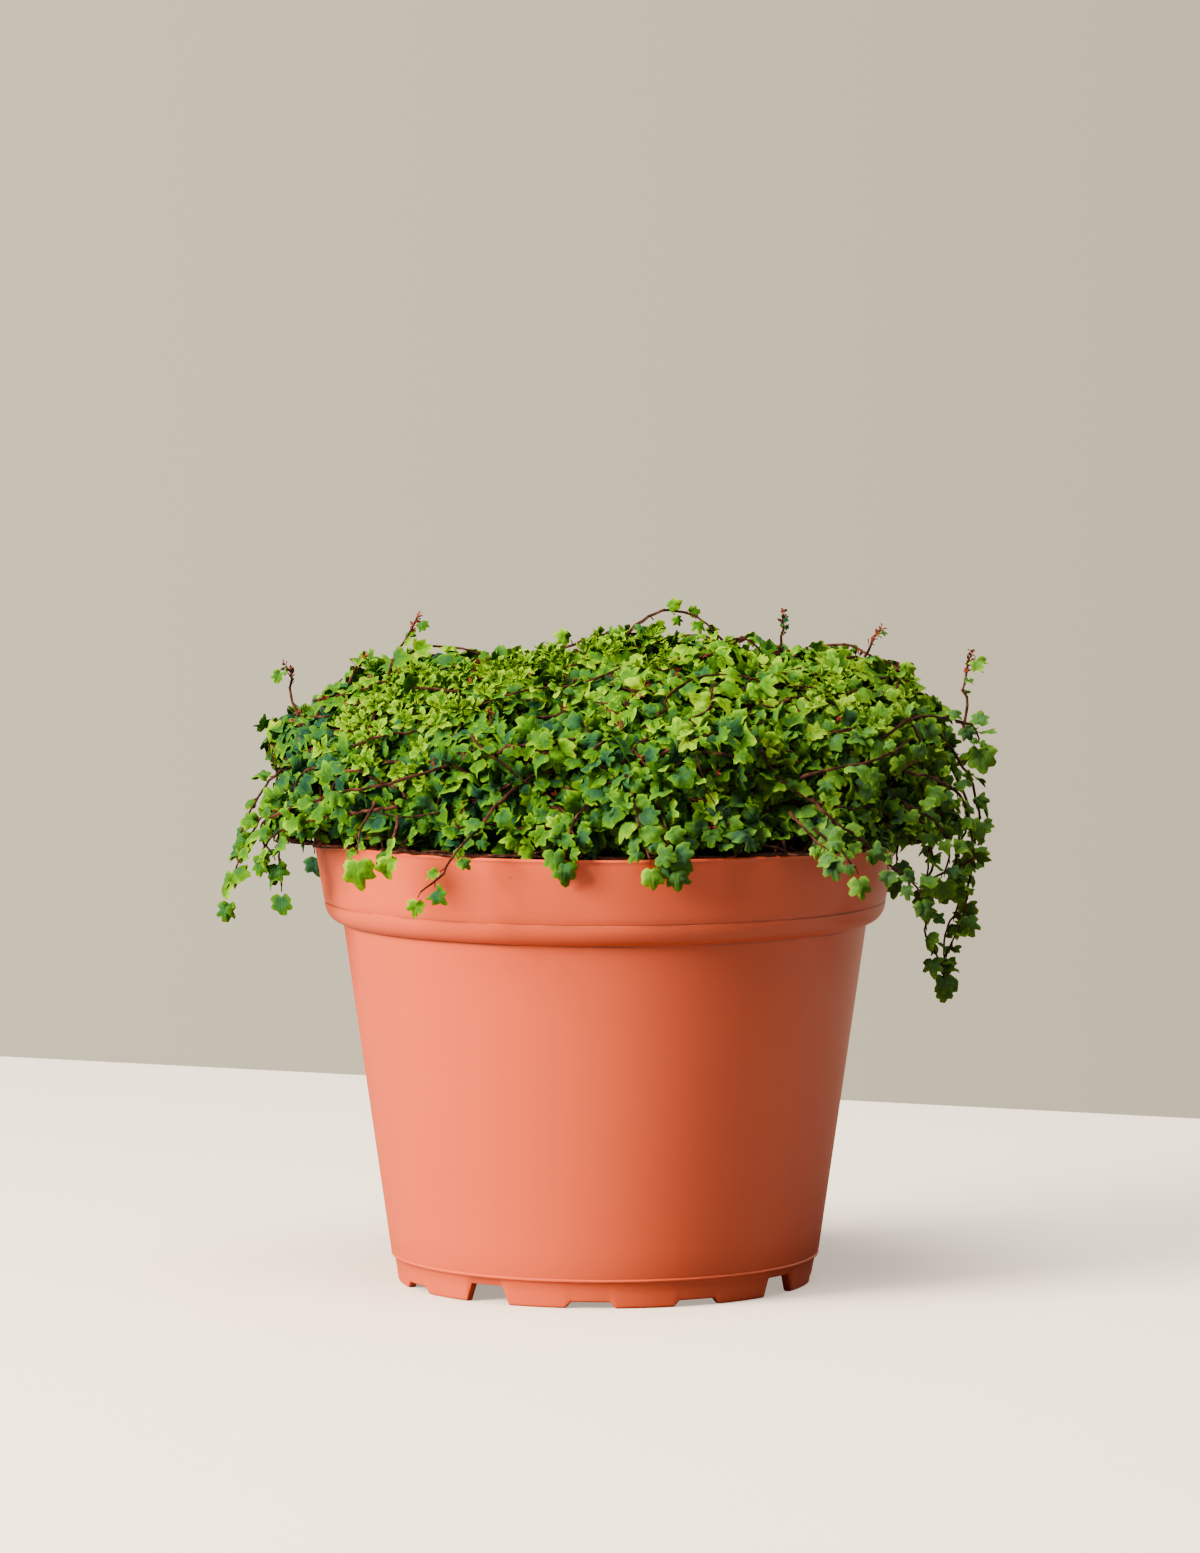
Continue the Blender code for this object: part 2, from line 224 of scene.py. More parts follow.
def copies(parts, amount, corners):
    """The face arrays of one shape, repeated for each of its copies of `corners` points."""
    offset = (np.arange(amount) * corners)[:, None, None]
    return [(part[None] + offset).reshape(-1, part.shape[1]) for part in parts]


def round_places(radius, turn, height):
    """Points at a radius, a turn round the axis and a height: (r cos t, r sin t, h)."""
    flat = radius * np.cos(turn), radius * np.sin(turn)
    return np.stack(np.broadcast_arrays(*flat, height), -1)


def unit(vectors):
    """Each vector divided by its length."""
    return vectors / np.maximum(np.linalg.norm(vectors, axis=-1, keepdims=True), 1e-12)


def dot(a, b):
    return (a * b).sum(-1, keepdims=True)


# ---- grow pot


BAND_FOOT_RADIUS = 73.1 * MM
BODY_RADIUS = 68.2 * MM
LEDGE_RADIUS = 55.8 * MM
FOOT_RADIUS = 54.0 * MM
SHOULDER_WIDTH, SHOULDER_HEIGHT = 4.9 * MM, 5.5 * MM
# The two creases: their heights under and over the band's foot
LOWER_CREASE, UPPER_CREASE = -5.7 * MM, 0.05 * MM
NOTCH_COUNT = 12
DRAIN_EVERY = 3
FIRST_DRAIN_DEG = 236.0
DRAIN_NOTCH = {"foot": 13.0 * MM, "top": 9.5 * MM, "height": 4.8 * MM}
SHALLOW_NOTCH = {"foot": 13.0 * MM, "top": 10.0 * MM, "height": 1.6 * MM}
FLOOR_LOW, FLOOR_HIGH, FLOOR_EDGE = 5.5 * MM, 6.9 * MM, 48.0 * MM
DRAIN_HOLES = 8
DRAIN_RING = 41.9 * MM
DRAIN_RADIUS = 3.5 * MM


def polypropylene(settings):
    """Injection-moulded polypropylene, coloured through: a satin skin with faint flow clouds, a
    fine moulding texture, and painted shade, in broken patches, darkening the creases at the band's
    foot."""
    made, shader, node = new_material("polypropylene_moulded")
    place = node("TexCoord", out="Object")
    clean = clouded(node, place, 22.0, 3.0, (*settings.plastic, 1.0), 0.93)
    height = node("SeparateXYZ", [place], "Z")
    away = []
    # Painted shade: near the two creases at the band's foot the colour is mixed towards dark brown
    # #5e3528, broken into patches by noise.
    for crease in (LOWER_CREASE, UPPER_CREASE):
        above = node("Math", [height, LIP_TOP - settings.band + crease], operation="SUBTRACT")
        away.append(node("Math", [above], operation="ABSOLUTE"))
    nearest = node("Math", away, operation="MINIMUM")
    near = node("MapRange", [nearest, 0.10 * MM, 0.50 * MM, 0.60, 0.0])
    shade_breakup_noise = node("TexNoise", {"Vector": place, "Scale": 60.0, "Detail": 4.0})
    patches = node("MapRange", [shade_breakup_noise, 0.36, 0.58])
    crease_painted_shade = node("Mix", {
        "Factor": node("Math", [near, patches], operation="MULTIPLY"),
        "A": clean, "B": linear("#5e3528"),
    }, "Result", data_type="RGBA")
    texture = node("TexNoise", {"Vector": place, "Scale": 900.0, "Detail": 2.0})
    feed(shader, {
        "Base Color": crease_painted_shade,
        "Normal": node("Bump", {"Height": texture, "Strength": 0.08, "Distance": 0.1 * MM}),
        "Roughness": 0.42, "IOR": 1.49, "Specular IOR Level": 0.5, "Subsurface Weight": 0.08,
        "Subsurface Radius": (1.0 * MM, 0.4 * MM, 0.2 * MM), "Subsurface Scale": 1.0,
    })
    return made


def arc(centre, radius, first_deg, last_deg, steps):
    """Points (radius, height) on a round edge, from one angle to another."""
    turn = np.radians(np.linspace(first_deg, last_deg, steps))
    return np.stack([centre[0] + radius * np.cos(turn), centre[1] + radius * np.sin(turn)], -1)


def pot_outline(pot):
    """The wall's closed section as (radius, height) points, from the floor's edge inside, up and
    over the lip, and down the outside to the foot ring and the recess under the floor."""
    top, band_foot = LIP_TOP, LIP_TOP - pot.band
    slope = (pot.lip_radius - BAND_FOOT_RADIUS) / pot.band
    bead = pot.wall / 2
    turn = np.radians(np.linspace(0, 90, 10))
    shoulder = np.stack([BODY_RADIUS + SHOULDER_WIDTH * np.cos(turn),
                         band_foot - SHOULDER_HEIGHT * np.sin(turn)], -1)
    inside_foot = LEDGE_RADIUS - pot.wall
    inside = [np.array([[FLOOR_EDGE, FLOOR_HIGH]]),
              arc((inside_foot - 1.5 * MM, FLOOR_HIGH + 1.5 * MM), 1.5 * MM, -90, 0, 5),
              (shoulder + [-pot.wall, pot.wall])[::-1]]
    lip = arc((pot.lip_radius - bead, top - bead), bead, 180, 0, 9)
    groove = np.array([
        [pot.lip_radius - 1.1 * MM * slope - 0.12 * MM, top - 1.1 * MM],
        [pot.lip_radius - 1.7 * MM * slope - 0.05 * MM, top - 1.7 * MM],
    ])
    share = np.linspace(0.85, 0.03, 8)
    band = np.stack([BAND_FOOT_RADIUS + slope * pot.band * share, band_foot + pot.band * share], -1)
    crease = np.array([[BAND_FOOT_RADIUS - 0.18 * MM, band_foot + 0.12 * MM],
                       [BAND_FOOT_RADIUS, band_foot - 0.15 * MM]])
    share = np.linspace(0.02, 0.985, 14)
    body = np.stack([BODY_RADIUS + (LEDGE_RADIUS - BODY_RADIUS) * share,
                     shoulder[-1, 1] + (pot.foot - shoulder[-1, 1]) * share], -1)
    ridge = arc((LEDGE_RADIUS - 0.35 * MM, pot.foot), 0.45 * MM, 60, -80, 5)
    ring = np.array([[54.9 * MM, pot.foot - 1.2 * MM], [54.5 * MM, pot.foot / 2],
                     [54.2 * MM, 1.4 * MM]])
    toe = arc((53.4 * MM, 0.7 * MM), 0.7 * MM, 0, -90, 4)
    heel = arc((52.3 * MM, 0.5 * MM), 0.5 * MM, -90, -180, 3)
    recess = np.array([[51.8 * MM, 3.0 * MM], [51.8 * MM, FLOOR_LOW], [FLOOR_EDGE, FLOOR_LOW]])
    return np.concatenate([*inside, lip, groove, band, crease, shoulder[1:], body, ridge, ring, toe,
                           heel, recess])


def notches():
    """Each notch's middle turn and its sizes; every third is a deep one."""
    for index in range(NOTCH_COUNT):
        middle = math.radians(FIRST_DRAIN_DEG + index * 360 / NOTCH_COUNT)
        yield middle, SHALLOW_NOTCH if index % DRAIN_EVERY else DRAIN_NOTCH


def notch_heights(turns, radius):
    """How high the foot is cut at each turn: up a ramp to a notch's height, and down again."""
    cut = np.zeros_like(turns)
    for middle, notch in notches():
        away = np.abs((turns - middle + math.pi) % math.tau - math.pi) * radius
        ramp = (notch["foot"] / 2 - away) / ((notch["foot"] - notch["top"]) / 2)
        cut = np.maximum(cut, notch["height"] * np.clip(ramp, 0, 1))
    return cut


def pot_turns(radius, plain):
    """Turns round the pot: even steps, and each notch's corners with a close step beside them."""
    turns = [np.arange(plain) * math.tau / plain]
    for middle, notch in notches():
        for half in (notch["foot"] / 2, notch["top"] / 2):
            for side in (-1, 1):
                corner = middle + side * half / radius
                turns.append(corner + np.array([-0.1, 0.1]) * MM / radius)
    turns = np.sort(np.concatenate(turns) % math.tau)
    return turns[np.concatenate([[True], np.diff(turns) > 1e-4])]


def drained_floor(rim, low, high):
    """The pot's floor, a closed plate with a round drain hole in each eighth. An eighth is a
    curved patch, and quads run from the patch's edge in to its hole. Gives corners, four or three
    a face."""
    step = np.linspace(0, 1, 25)
    near, far = DRAIN_RING - 5 * MM, DRAIN_RING + 5 * MM
    quads, fans = [], []

    def raised(flat, height):
        return np.concatenate([flat, np.full((*flat.shape[:-1], 1), height)], -1)

    def strip(first, first_height, second, second_height):
        a, b = raised(first, first_height), raised(second, second_height)
        return np.stack([a[:-1], b[:-1], b[1:], a[1:]], 1)

    for index in range(DRAIN_HOLES):
        turn = (index + step) * math.tau / DRAIN_HOLES
        way = np.stack([np.cos(turn), np.sin(turn)], -1)
        across = np.linspace(near, far, 5)[:, None]
        edge = np.concatenate([way[:-1] * near, (way[-1] * across)[:-1], way[:0:-1] * far,
                               (way[0] * across)[::-1]])
        middle = way[12] * DRAIN_RING
        hole = middle + unit(edge - middle) * DRAIN_RADIUS
        for height, order in ((high, 1), (low, -1)):
            quads += [strip(edge, height, hole, height)[:, ::order],
                      strip(way * far, height, way * rim, height)[:, ::order]]
            inside = strip(way * 0, height, way * near, height)[:, 1:]
            pole = inside[:, 2] * [0, 0, 1]
            fans.append(np.stack([pole, inside[:, 0], inside[:, 1]], 1)[:, ::order])
        quads += [strip(hole, high, hole, low), strip(way * rim, high, way * rim, low)]
    return np.concatenate(quads), np.concatenate(fans)


def weld(quads, fans):
    """Faces given by their corners' places, turned into shared points and index arrays."""
    corners = np.concatenate([quads.reshape(-1, 3), fans.reshape(-1, 3)])
    points, index = np.unique(np.round(corners, 7), axis=0, return_inverse=True)
    index = index.reshape(-1)
    return points, index[:quads.size // 3].reshape(-1, 4), index[quads.size // 3:].reshape(-1, 3)


class FROGS_OT_pot(bpy.types.Operator):
    """Make the grow pot: its section turned round the axis, with the foot ring raised at each
    notch, and its drained floor"""
    bl_idname = "frogs.pot"
    bl_label = "Grow pot"

    def execute(self, context):
        pot = context.scene.frogs_pot
        outline = pot_outline(pot)
        turns = pot_turns(FOOT_RADIUS, 240)
        cut = notch_heights(turns, FOOT_RADIUS)
        radius, height = outline[:, 0][:, None], outline[:, 1][:, None]
        ceiling = pot.foot - 1.0 * MM
        lifted = cut + height * (ceiling - cut) / ceiling
        height = np.where(height < FLOOR_LOW, lifted, height)
        points = round_places(radius, turns, height).reshape(-1, 3)
        wall = grid_faces(len(outline) + 1, len(turns), True)[:, ::-1] % len(points)
        floor_points, quads, fans = weld(*drained_floor(
            FLOOR_EDGE + 1.0 * MM, FLOOR_LOW + 0.03 * MM, FLOOR_HIGH - 0.03 * MM))
        points = np.concatenate([points, floor_points])
        quads = np.concatenate([wall, quads + len(points) - len(floor_points)])
        fans = fans + len(points) - len(floor_points)
        piece = new_piece("pot", points, [quads, fans], polypropylene(pot), 35)
        settle(piece, ["grow_pot"])
        return {"FINISHED"}


# ---- potting mix


def peat():
    """Damp peat with bark fines: nearly black brown, dull, with lighter dry fibres."""
    return grained("peat_crumbled", 380.0, 6.0, [
        (0.30, "#140d08"), (0.52, "#33221a"), (0.62, "#5a4030"), (0.72, "#8a6a4e"),
    ], {"Roughness": 0.95}, (0.8, 0.6 * MM))


def crumbs(amount, rng):
    """Crumbs near the pot's wall: octahedra with jittered corners, each its own size."""
    turn = rng.uniform(0, math.tau, amount)
    reach = (LIP_RADIUS - 2.6 * MM) * np.sqrt(rng.uniform(0.62, 1.0, amount))
    height = LIP_TOP - 4.6 * MM + 2.0 * MM * (1 - (reach / LIP_RADIUS) ** 2)
    middle = round_places(reach, turn, height)
    corner = np.array([[1, 0, 0], [0, 1, 0], [-1, 0, 0], [0, -1, 0], [0, 0, 1], [0, 0, -1]], float)
    size = rng.uniform(0.5, 1.7, (amount, 1, 1)) * MM
    stretch = rng.uniform(0.55, 1.3, (amount, 1, 3))
    points = corner[None] * stretch + rng.normal(0, 0.16, (amount, 6, 3))
    spin = rng.uniform(0, math.tau, (amount, 1))
    x = points[..., 0] * np.cos(spin) - points[..., 1] * np.sin(spin)
    y = points[..., 0] * np.sin(spin) + points[..., 1] * np.cos(spin)
    points = np.stack([x, y, points[..., 2]], -1) * size + middle[:, None]
    ring = np.arange(4)
    upper = np.stack([ring, (ring + 1) % 4, np.full(4, 4)], -1)
    lower = np.stack([(ring + 1) % 4, ring, np.full(4, 5)], -1)
    one = np.concatenate([upper, lower])
    return points.reshape(-1, 3), copies([one], amount, 6)[0]


class FROGS_OT_potting_mix(bpy.types.Operator):
    """Make the potting mix: a heaped, lumpy top closed down to the pot's floor, and its crumbs"""
    bl_idname = "frogs.potting_mix"
    bl_label = "Potting mix"

    def execute(self, context):
        rng = np.random.default_rng(11)
        rings, columns = 48, 200
        turns = np.arange(columns) * math.tau / columns
        edge = LIP_RADIUS - 2.0 * MM
        share = np.linspace(0.0, 1.0, rings)[1:, None]
        x = edge * share * np.cos(turns)
        y = edge * share * np.sin(turns)
        lumps = np.zeros_like(x)
        for scale, size in ((0.35, 1.1), (0.9, 0.5), (2.1, 0.3)):
            angle, phase = rng.uniform(0, math.tau, 5), rng.uniform(0, math.tau, 5)
            for a, p in zip(angle, phase):
                wave = (x * math.cos(a) + y * math.sin(a)) / MM * scale + p
                lumps += np.sin(wave + 1.3 * np.sin(wave * 0.37 + a)) * size * MM / 5
        z = LIP_TOP - 4.2 * MM + 3.0 * MM * (1 - share ** 2) + lumps
        top = np.stack([x, y, z], -1).reshape(-1, 3)
        wall = [(edge - 2.6 * MM, LIP_TOP - 16 * MM), (66.6 * MM, LIP_TOP - 24 * MM),
                (54.4 * MM, MIX_BOX[0].z)]
        sides = np.concatenate([round_places(radius, turns, height) for radius, height in wall])
        points = np.concatenate([top, sides, [[0, 0, LIP_TOP - 1.2 * MM], [0, 0, MIX_BOX[0].z]]])
        rows = rings - 1 + len(wall)
        crown, sole = rows * columns, rows * columns + 1
        first = np.arange(columns)
        after = (first + 1) % columns
        last_row = (rows - 1) * columns
        cap = fan(crown, first, after)
        base = fan(sole, last_row + after, last_row + first)
        quads = grid_faces(rows, columns, True)[:, ::-1]
        more, crumb_faces = crumbs(900, rng)
        faces = [quads, np.concatenate([cap, base, crumb_faces + len(points)])]
        piece = new_piece("potting_mix_lumpy", np.concatenate([points, more]), faces, peat(), 40)
        settle(piece, ["potting_mix"])
        return {"FINISHED"}


# ---- the mound's skin


SQUARENESS = 3.5
# The mound's named swellings: a direction from the middle of the lip, how far it swells as a share,
# and how tightly
SWELLINGS = [
    ((0.16, 0.05, 1.0), 0.150, 16.0),
    ((0.62, 0.00, 0.80), 0.100, 22.0),
    ((0.88, 0.05, 0.50), 0.066, 30.0),
    ((-0.85, 0.00, 0.62), 0.025, 25.0),
    ((-0.40, -0.10, 0.95), 0.012, 25.0),
]
HUMMOCKS = 130


def swelling(direction):
    """How much the skin stands out at a direction: a sum of round bumps, exp(k (cosine - 1))."""
    rng = np.random.default_rng(5)
    turn = rng.uniform(0, math.tau, HUMMOCKS)
    rise = rng.uniform(0.02, 1.0, HUMMOCKS)
    centres = round_places(np.sqrt(1 - rise ** 2), turn, rise)
    heights = rng.uniform(-0.068, 0.060, HUMMOCKS)
    tight = rng.uniform(70, 220, HUMMOCKS)
    named = unit(np.array([place for place, _, _ in SWELLINGS]))
    centres = np.concatenate([centres, named])
    heights = np.concatenate([heights, [height for _, height, _ in SWELLINGS]])
    tight = np.concatenate([tight, [k for _, _, k in SWELLINGS]])
    cosine = direction @ centres.T
    return (heights * np.exp(tight * (cosine - 1))).sum(-1)


def dome_level(points, plant):
    """1 on the skin, less inside it: (rho^n + zeta^n)^(1/n), where rho is the share of the plan's
    ellipse and zeta the share of the height, divided by 1 plus the swelling."""
    x, y = points[..., 0], points[..., 1]
    z = np.clip(points[..., 2] - LIP_TOP, 0, None)
    depth = np.where(y < 0, plant.front_depth, plant.back_depth)
    width = np.where(x < 0, plant.left_width, plant.right_width)
    rho = np.hypot(x / width, y / depth)
    zeta = z / plant.height
    plain = (rho ** SQUARENESS + zeta ** SQUARENESS) ** (1 / SQUARENESS)
    direction = unit(np.stack([x / width, y / depth, zeta], -1))
    return plain / (1 + swelling(direction))


def dome_normal(points, plant):
    """The skin's outward normal: the level's rise over a small step along each axis."""
    step = 0.5 * MM
    here = dome_level(points, plant)
    slopes = [dome_level(points + step * axis, plant) - here for axis in np.eye(3)]
    return unit(np.stack(slopes, -1) + [0, 0, 1e-6])


def over_dome(turn, rise, plant):
    """Points over the dome at turns round it and at shares of its height."""
    size = [plant.right_width, plant.back_depth, plant.height]
    return round_places(np.sqrt(1 - rise ** 2), turn, rise) * size + [0, 0, LIP_TOP]


def on_dome(points, plant, lift):
    """Points moved along their ray from the lip's middle until they lie `lift` above the skin."""
    middle = np.array([0, 0, LIP_TOP])
    ray = points - middle
    ray[..., 2] = np.clip(ray[..., 2], 0.2 * MM, None)
    skin = ray / dome_level(ray + middle, plant)[..., None]
    return middle + skin + unit(skin) * np.asarray(lift)[..., None]


# ---- stems


def bark():
    """Thin bark of a woody runner: dark reddish brown, with paler rings and flakes."""
    return grained("fig_bark", 420.0, 4.0, [
        (0.30, "#140a08"), (0.50, "#2f1a14"), (0.66, "#502e25"), (0.80, "#6c4739"),
    ], {"Roughness": 0.8, "Specular IOR Level": 0.2}, (0.5, 0.2 * MM))


def tubes(paths, radii, sides=6):
    """Round closed tubes along paths, arrays (tube, node, xyz): at each node a ring at right angles
    to the path, and a pole at each end."""
    amount, nodes = paths.shape[:2]
    ahead = unit(np.gradient(paths, axis=1))
    across = unit(np.cross(ahead, np.array([0.31, 0.22, 0.92])))
    third = np.cross(ahead, across)
    turn = np.arange(sides) * math.tau / sides
    ring = across[:, :, None] * np.cos(turn)[:, None] + third[:, :, None] * np.sin(turn)[:, None]
    rings = paths[:, :, None] + ring * radii[:, :, None, None]
    points = np.concatenate([rings.reshape(amount, -1, 3), paths[:, :1], paths[:, -1:]], 1)
    first = np.arange(sides)
    after = (first + 1) % sides
    last = (nodes - 1) * sides
    ends = np.concatenate([fan(nodes * sides, after, first),
                           fan(nodes * sides + 1, last + first, last + after)])
    faces = copies([grid_faces(nodes, sides, True), ends], amount, points.shape[1])
    return points.reshape(-1, 3), faces


# ---- leaves


# Half of a blade's edge, from its tip round to its foot: the angle in degrees from the tip's way,
# and the edge's distance from the blade's middle as a share of the length, for a lobed and a plain
# leaf
HALF_EDGE = np.array([
    (0, 0.59, 0.56), (15, 0.53, 0.54), (31, 0.36, 0.50), (48, 0.52, 0.49), (64, 0.52, 0.47),
    (84, 0.34, 0.46), (104, 0.49, 0.45), (129, 0.45, 0.43), (156, 0.38, 0.40), (180, 0.20, 0.33),
])
TINY_EDGE = np.array([(0, 0.54, 0.54), (38, 0.40, 0.40), (90, 0.24, 0.24), (180, 0.46, 0.46)])
PLAIN_RINGS = (0.55, 1.0)
FINE_RINGS = (0.32, 0.62, 0.86, 1.0)
BLADE_FOOT = 0.42
VEINS_A_TURN = 9.0
# How far the blotches shift a blade's tone
MOTTLE = 0.56


def leaf_blade_material():
    """A living leaf blade: dull satin cuticle over puckered tissue. The tone attribute runs from
    old blue-green to new lime; the margin is yellower, the veins are paler, and light shines
    through. Low down and on the side away from the window the leaves are painted greyer and paler:
    painted fill light for the shaded side."""
    made, shader, node = new_material("fig_leaf_blade")
    tone, under, edge = (node("Attribute", out="Fac", attribute_name=name)
                         for name in ("tone", "under", "edge"))
    place = node("TexCoord", out="Object")
    blotch = node("TexNoise", {"Vector": place, "Scale": 420.0, "Detail": 3.0})
    parts = node("SeparateXYZ", [node("UVMap", uv_map="blade")]).node.outputs
    from_foot = node("Math", [parts["Y"], BLADE_FOOT + 0.12], operation="ADD")
    turn = node("Math", [parts["X"], from_foot], operation="ARCTAN2")
    turned = node("Math", [turn, VEINS_A_TURN], operation="MULTIPLY")
    ribs = node("Math", [turned], operation="COSINE")
    veins = node("MapRange", [ribs, 0.80, 1.0, 0.0, 0.13], interpolation_type="SMOOTHSTEP")
    margin = node("MapRange", [edge, 0.50, 1.0, -0.10, 0.26], interpolation_type="SMOOTHSTEP")
    total = tone
    for part in (margin, veins, -MOTTLE / 2):
        total = node("Math", [total, part], operation="ADD")
    total = node("Math", [blotch, MOTTLE, total], operation="MULTIPLY_ADD")
    green = node("ValToRGB", {"Fac": total}, ramp=[
        (0.00, "#1b3b2c"), (0.20, "#28522f"), (0.42, "#386419"), (0.62, "#477708"),
        (0.82, "#608f02"), (1.00, "#7fa404"),
    ])
    # Painted light: towards +X and low down the green is mixed towards pale grey-green #637d57,
    # standing in for fill light on the side away from the key.
    shaded = node("VectorMath", [place, (3.2, 0.0, -4.5)], "Value", operation="DOT_PRODUCT")
    layers = [(node("MapRange", [shaded, -0.62, -0.30, 0.0, 0.24]), "#637d57"),
              (node("Math", [under, 0.7], operation="MULTIPLY"), "#42592c")]
    for share, over in layers:
        green = node("Mix", {"Factor": share, "A": green, "B": linear(over)}, "Result",
                     data_type="RGBA")
    relief = node("Math", [blotch, veins], operation="SUBTRACT")
    feed(shader, {
        "Base Color": green,
        "Normal": node("Bump", {"Height": relief, "Strength": 0.8, "Distance": 0.8 * MM}),
        "Roughness": 0.66, "Specular IOR Level": 0.08,
    })
    through = node("BsdfTranslucent", {"Color": green})
    mix = node("MixShader", [0.28, shader.outputs["BSDF"], through])
    feed(made.node_tree.nodes["Material Output"], {"Surface": mix})
    return made


def blade_plan(half_edge, rings):
    """One blade's corners as angle, share of the way out, edge distances for a lobed and a plain
    leaf, and side, with its faces: a pole, rings out to the edge, and a fan of faces back to a pole
    below."""
    whole = np.concatenate([half_edge, half_edge[-2:0:-1] * [-1, 1, 1]])
    around = len(whole)
    first = np.arange(around)
    after = (first + 1) % around
    last = 1 + (len(rings) - 1) * around
    pole_below = 1 + len(rings) * around
    angle, lobed, plain = (np.concatenate([[0], np.tile(column, len(rings)), [0]])
                           for column in (np.radians(whole[:, 0]), whole[:, 1], whole[:, 2]))
    share = np.concatenate([[0], np.repeat(rings, around), [0]])
    under = (np.arange(len(share)) == pole_below).astype(float)
    skirt = grid_faces(len(rings), around, True) + 1
    ends = np.concatenate([fan(0, 1 + after, 1 + first),
                           fan(pole_below, last + first, last + after)])
    return angle, share, lobed, plain, under, [skirt, ends]


def leaf_arrays(leaves, rng, half_edge, rings):
    """Every leaf's points at once. The edge's distance lies between the plain and the lobed one.
    The blade folds along its midrib, dishes with the square of the way out, its tip curls down,
    its margin ruffles, and between midrib and edge it swells."""
    angle, share, lobed, plain, under, faces = blade_plan(half_edge, rings)
    amount, corners = len(leaves["place"]), len(angle)
    lobing = leaves["lobing"][:, None]
    reach = lobed * lobing + plain * (1 - lobing)
    around = (corners - 2) // len(rings)
    uneven = np.tile(rng.normal(0, 0.06, (amount, around)), (1, len(rings)))
    reach[:, 1:-1] *= 1 + uneven
    x = reach * share * np.sin(angle) * leaves["width"][:, None]
    y = reach * share * np.cos(angle)
    ruffle = np.sin(3 * angle + leaves["phase"][:, None]) * leaves["ruffle"][:, None] * share ** 2
    z = (leaves["fold"][:, None] * np.abs(x) - leaves["dish"][:, None] * share ** 2
         - leaves["curl"][:, None] * np.clip(y, 0, None) ** 2 + ruffle
         + 0.07 * np.sin(np.pi * share))
    edge_z = z[:, -1 - around:-1]
    straight = share[1:-1] * np.tile(edge_z, (1, len(rings))) - 0.05 * (1 - share[1:-1])
    z[:, 1:-1] = np.maximum(z[:, 1:-1], straight + 0.015 * (share[1:-1] < 1))
    z[:, -1] = -0.05
    along, normal = leaves["along"][:, None], leaves["normal"][:, None]
    side = np.cross(along, normal)
    local = x[..., None] * side + (y + BLADE_FOOT)[..., None] * along + z[..., None] * normal
    points = leaves["place"][:, None] + local * leaves["length"][:, None, None]
    blade_map = np.stack([x, y], -1).reshape(-1, 2)
    return (points.reshape(-1, 3), copies(faces, amount, corners), blade_map,
            np.tile(share, amount), np.tile(under, amount))


def leaf_piece(name, leaves, rng, material, half_edge=HALF_EDGE, rings=PLAIN_RINGS):
    """A mesh of leaves, with tone, side and distance to the edge as attributes, and its UV map."""
    points, faces, blade_map, edge, under = leaf_arrays(leaves, rng, half_edge, rings)
    piece = new_piece(name, points, faces, material, 80)
    mesh = piece.data
    tone = np.repeat(leaves["tone"], len(points) // len(leaves["place"]))
    for title, values in (("tone", tone), ("under", under), ("edge", edge)):
        attribute = mesh.attributes.new(title, "FLOAT", "POINT")
        attribute.data.foreach_set("value", values.astype(np.float32))
    corners = np.zeros(len(mesh.loops), np.int32)
    mesh.loops.foreach_get("vertex_index", corners)
    uv = mesh.uv_layers.new(name="blade")
    uv.data.foreach_set("uv", blade_map[corners].astype(np.float32).ravel())
    return piece


def make_leaves(place, along, normal, length, tone, rng, lobing=(0.45, 1.25)):
    """A table of leaves, with the blade's own axes squared up and its form drawn at random."""
    amount = len(place)
    along = unit(along)
    normal = unit(normal - dot(normal, along) * along)
    return {
        "place": place, "along": along, "normal": normal, "length": length, "tone": tone,
        "width": rng.uniform(0.85, 1.2, amount), "lobing": rng.uniform(*lobing, amount),
        "fold": rng.uniform(-0.45, 0.60, amount), "curl": rng.uniform(-0.4, 1.3, amount),
        "dish": rng.uniform(-0.05, 0.28, amount), "ruffle": rng.uniform(0.03, 0.15, amount),
        "phase": rng.uniform(0, math.tau, amount),
    }


def pick(leaves, chosen):
    return {key: value[chosen] for key, value in leaves.items()}


def join(tables):
    return {key: np.concatenate([table[key] for table in tables]) for key in tables[0]}


# ---- creeping runners


LIGHT_WAY = unit(np.array([-0.70, -0.50, 0.55]))
# How fast leaves are painted lighter and limier: for each metre to the right, again right of the
# middle, and upwards from a level over the lip. The rise to the right is painted fill light for the
# side away from the key; the rise upwards is partly painted light from above and partly the limier
# colour of the crown.
TONE_ACROSS, TONE_RIGHT, TONE_UP, TONE_LEVEL = 1.4, 0.6, 5.6, 25.0 * MM


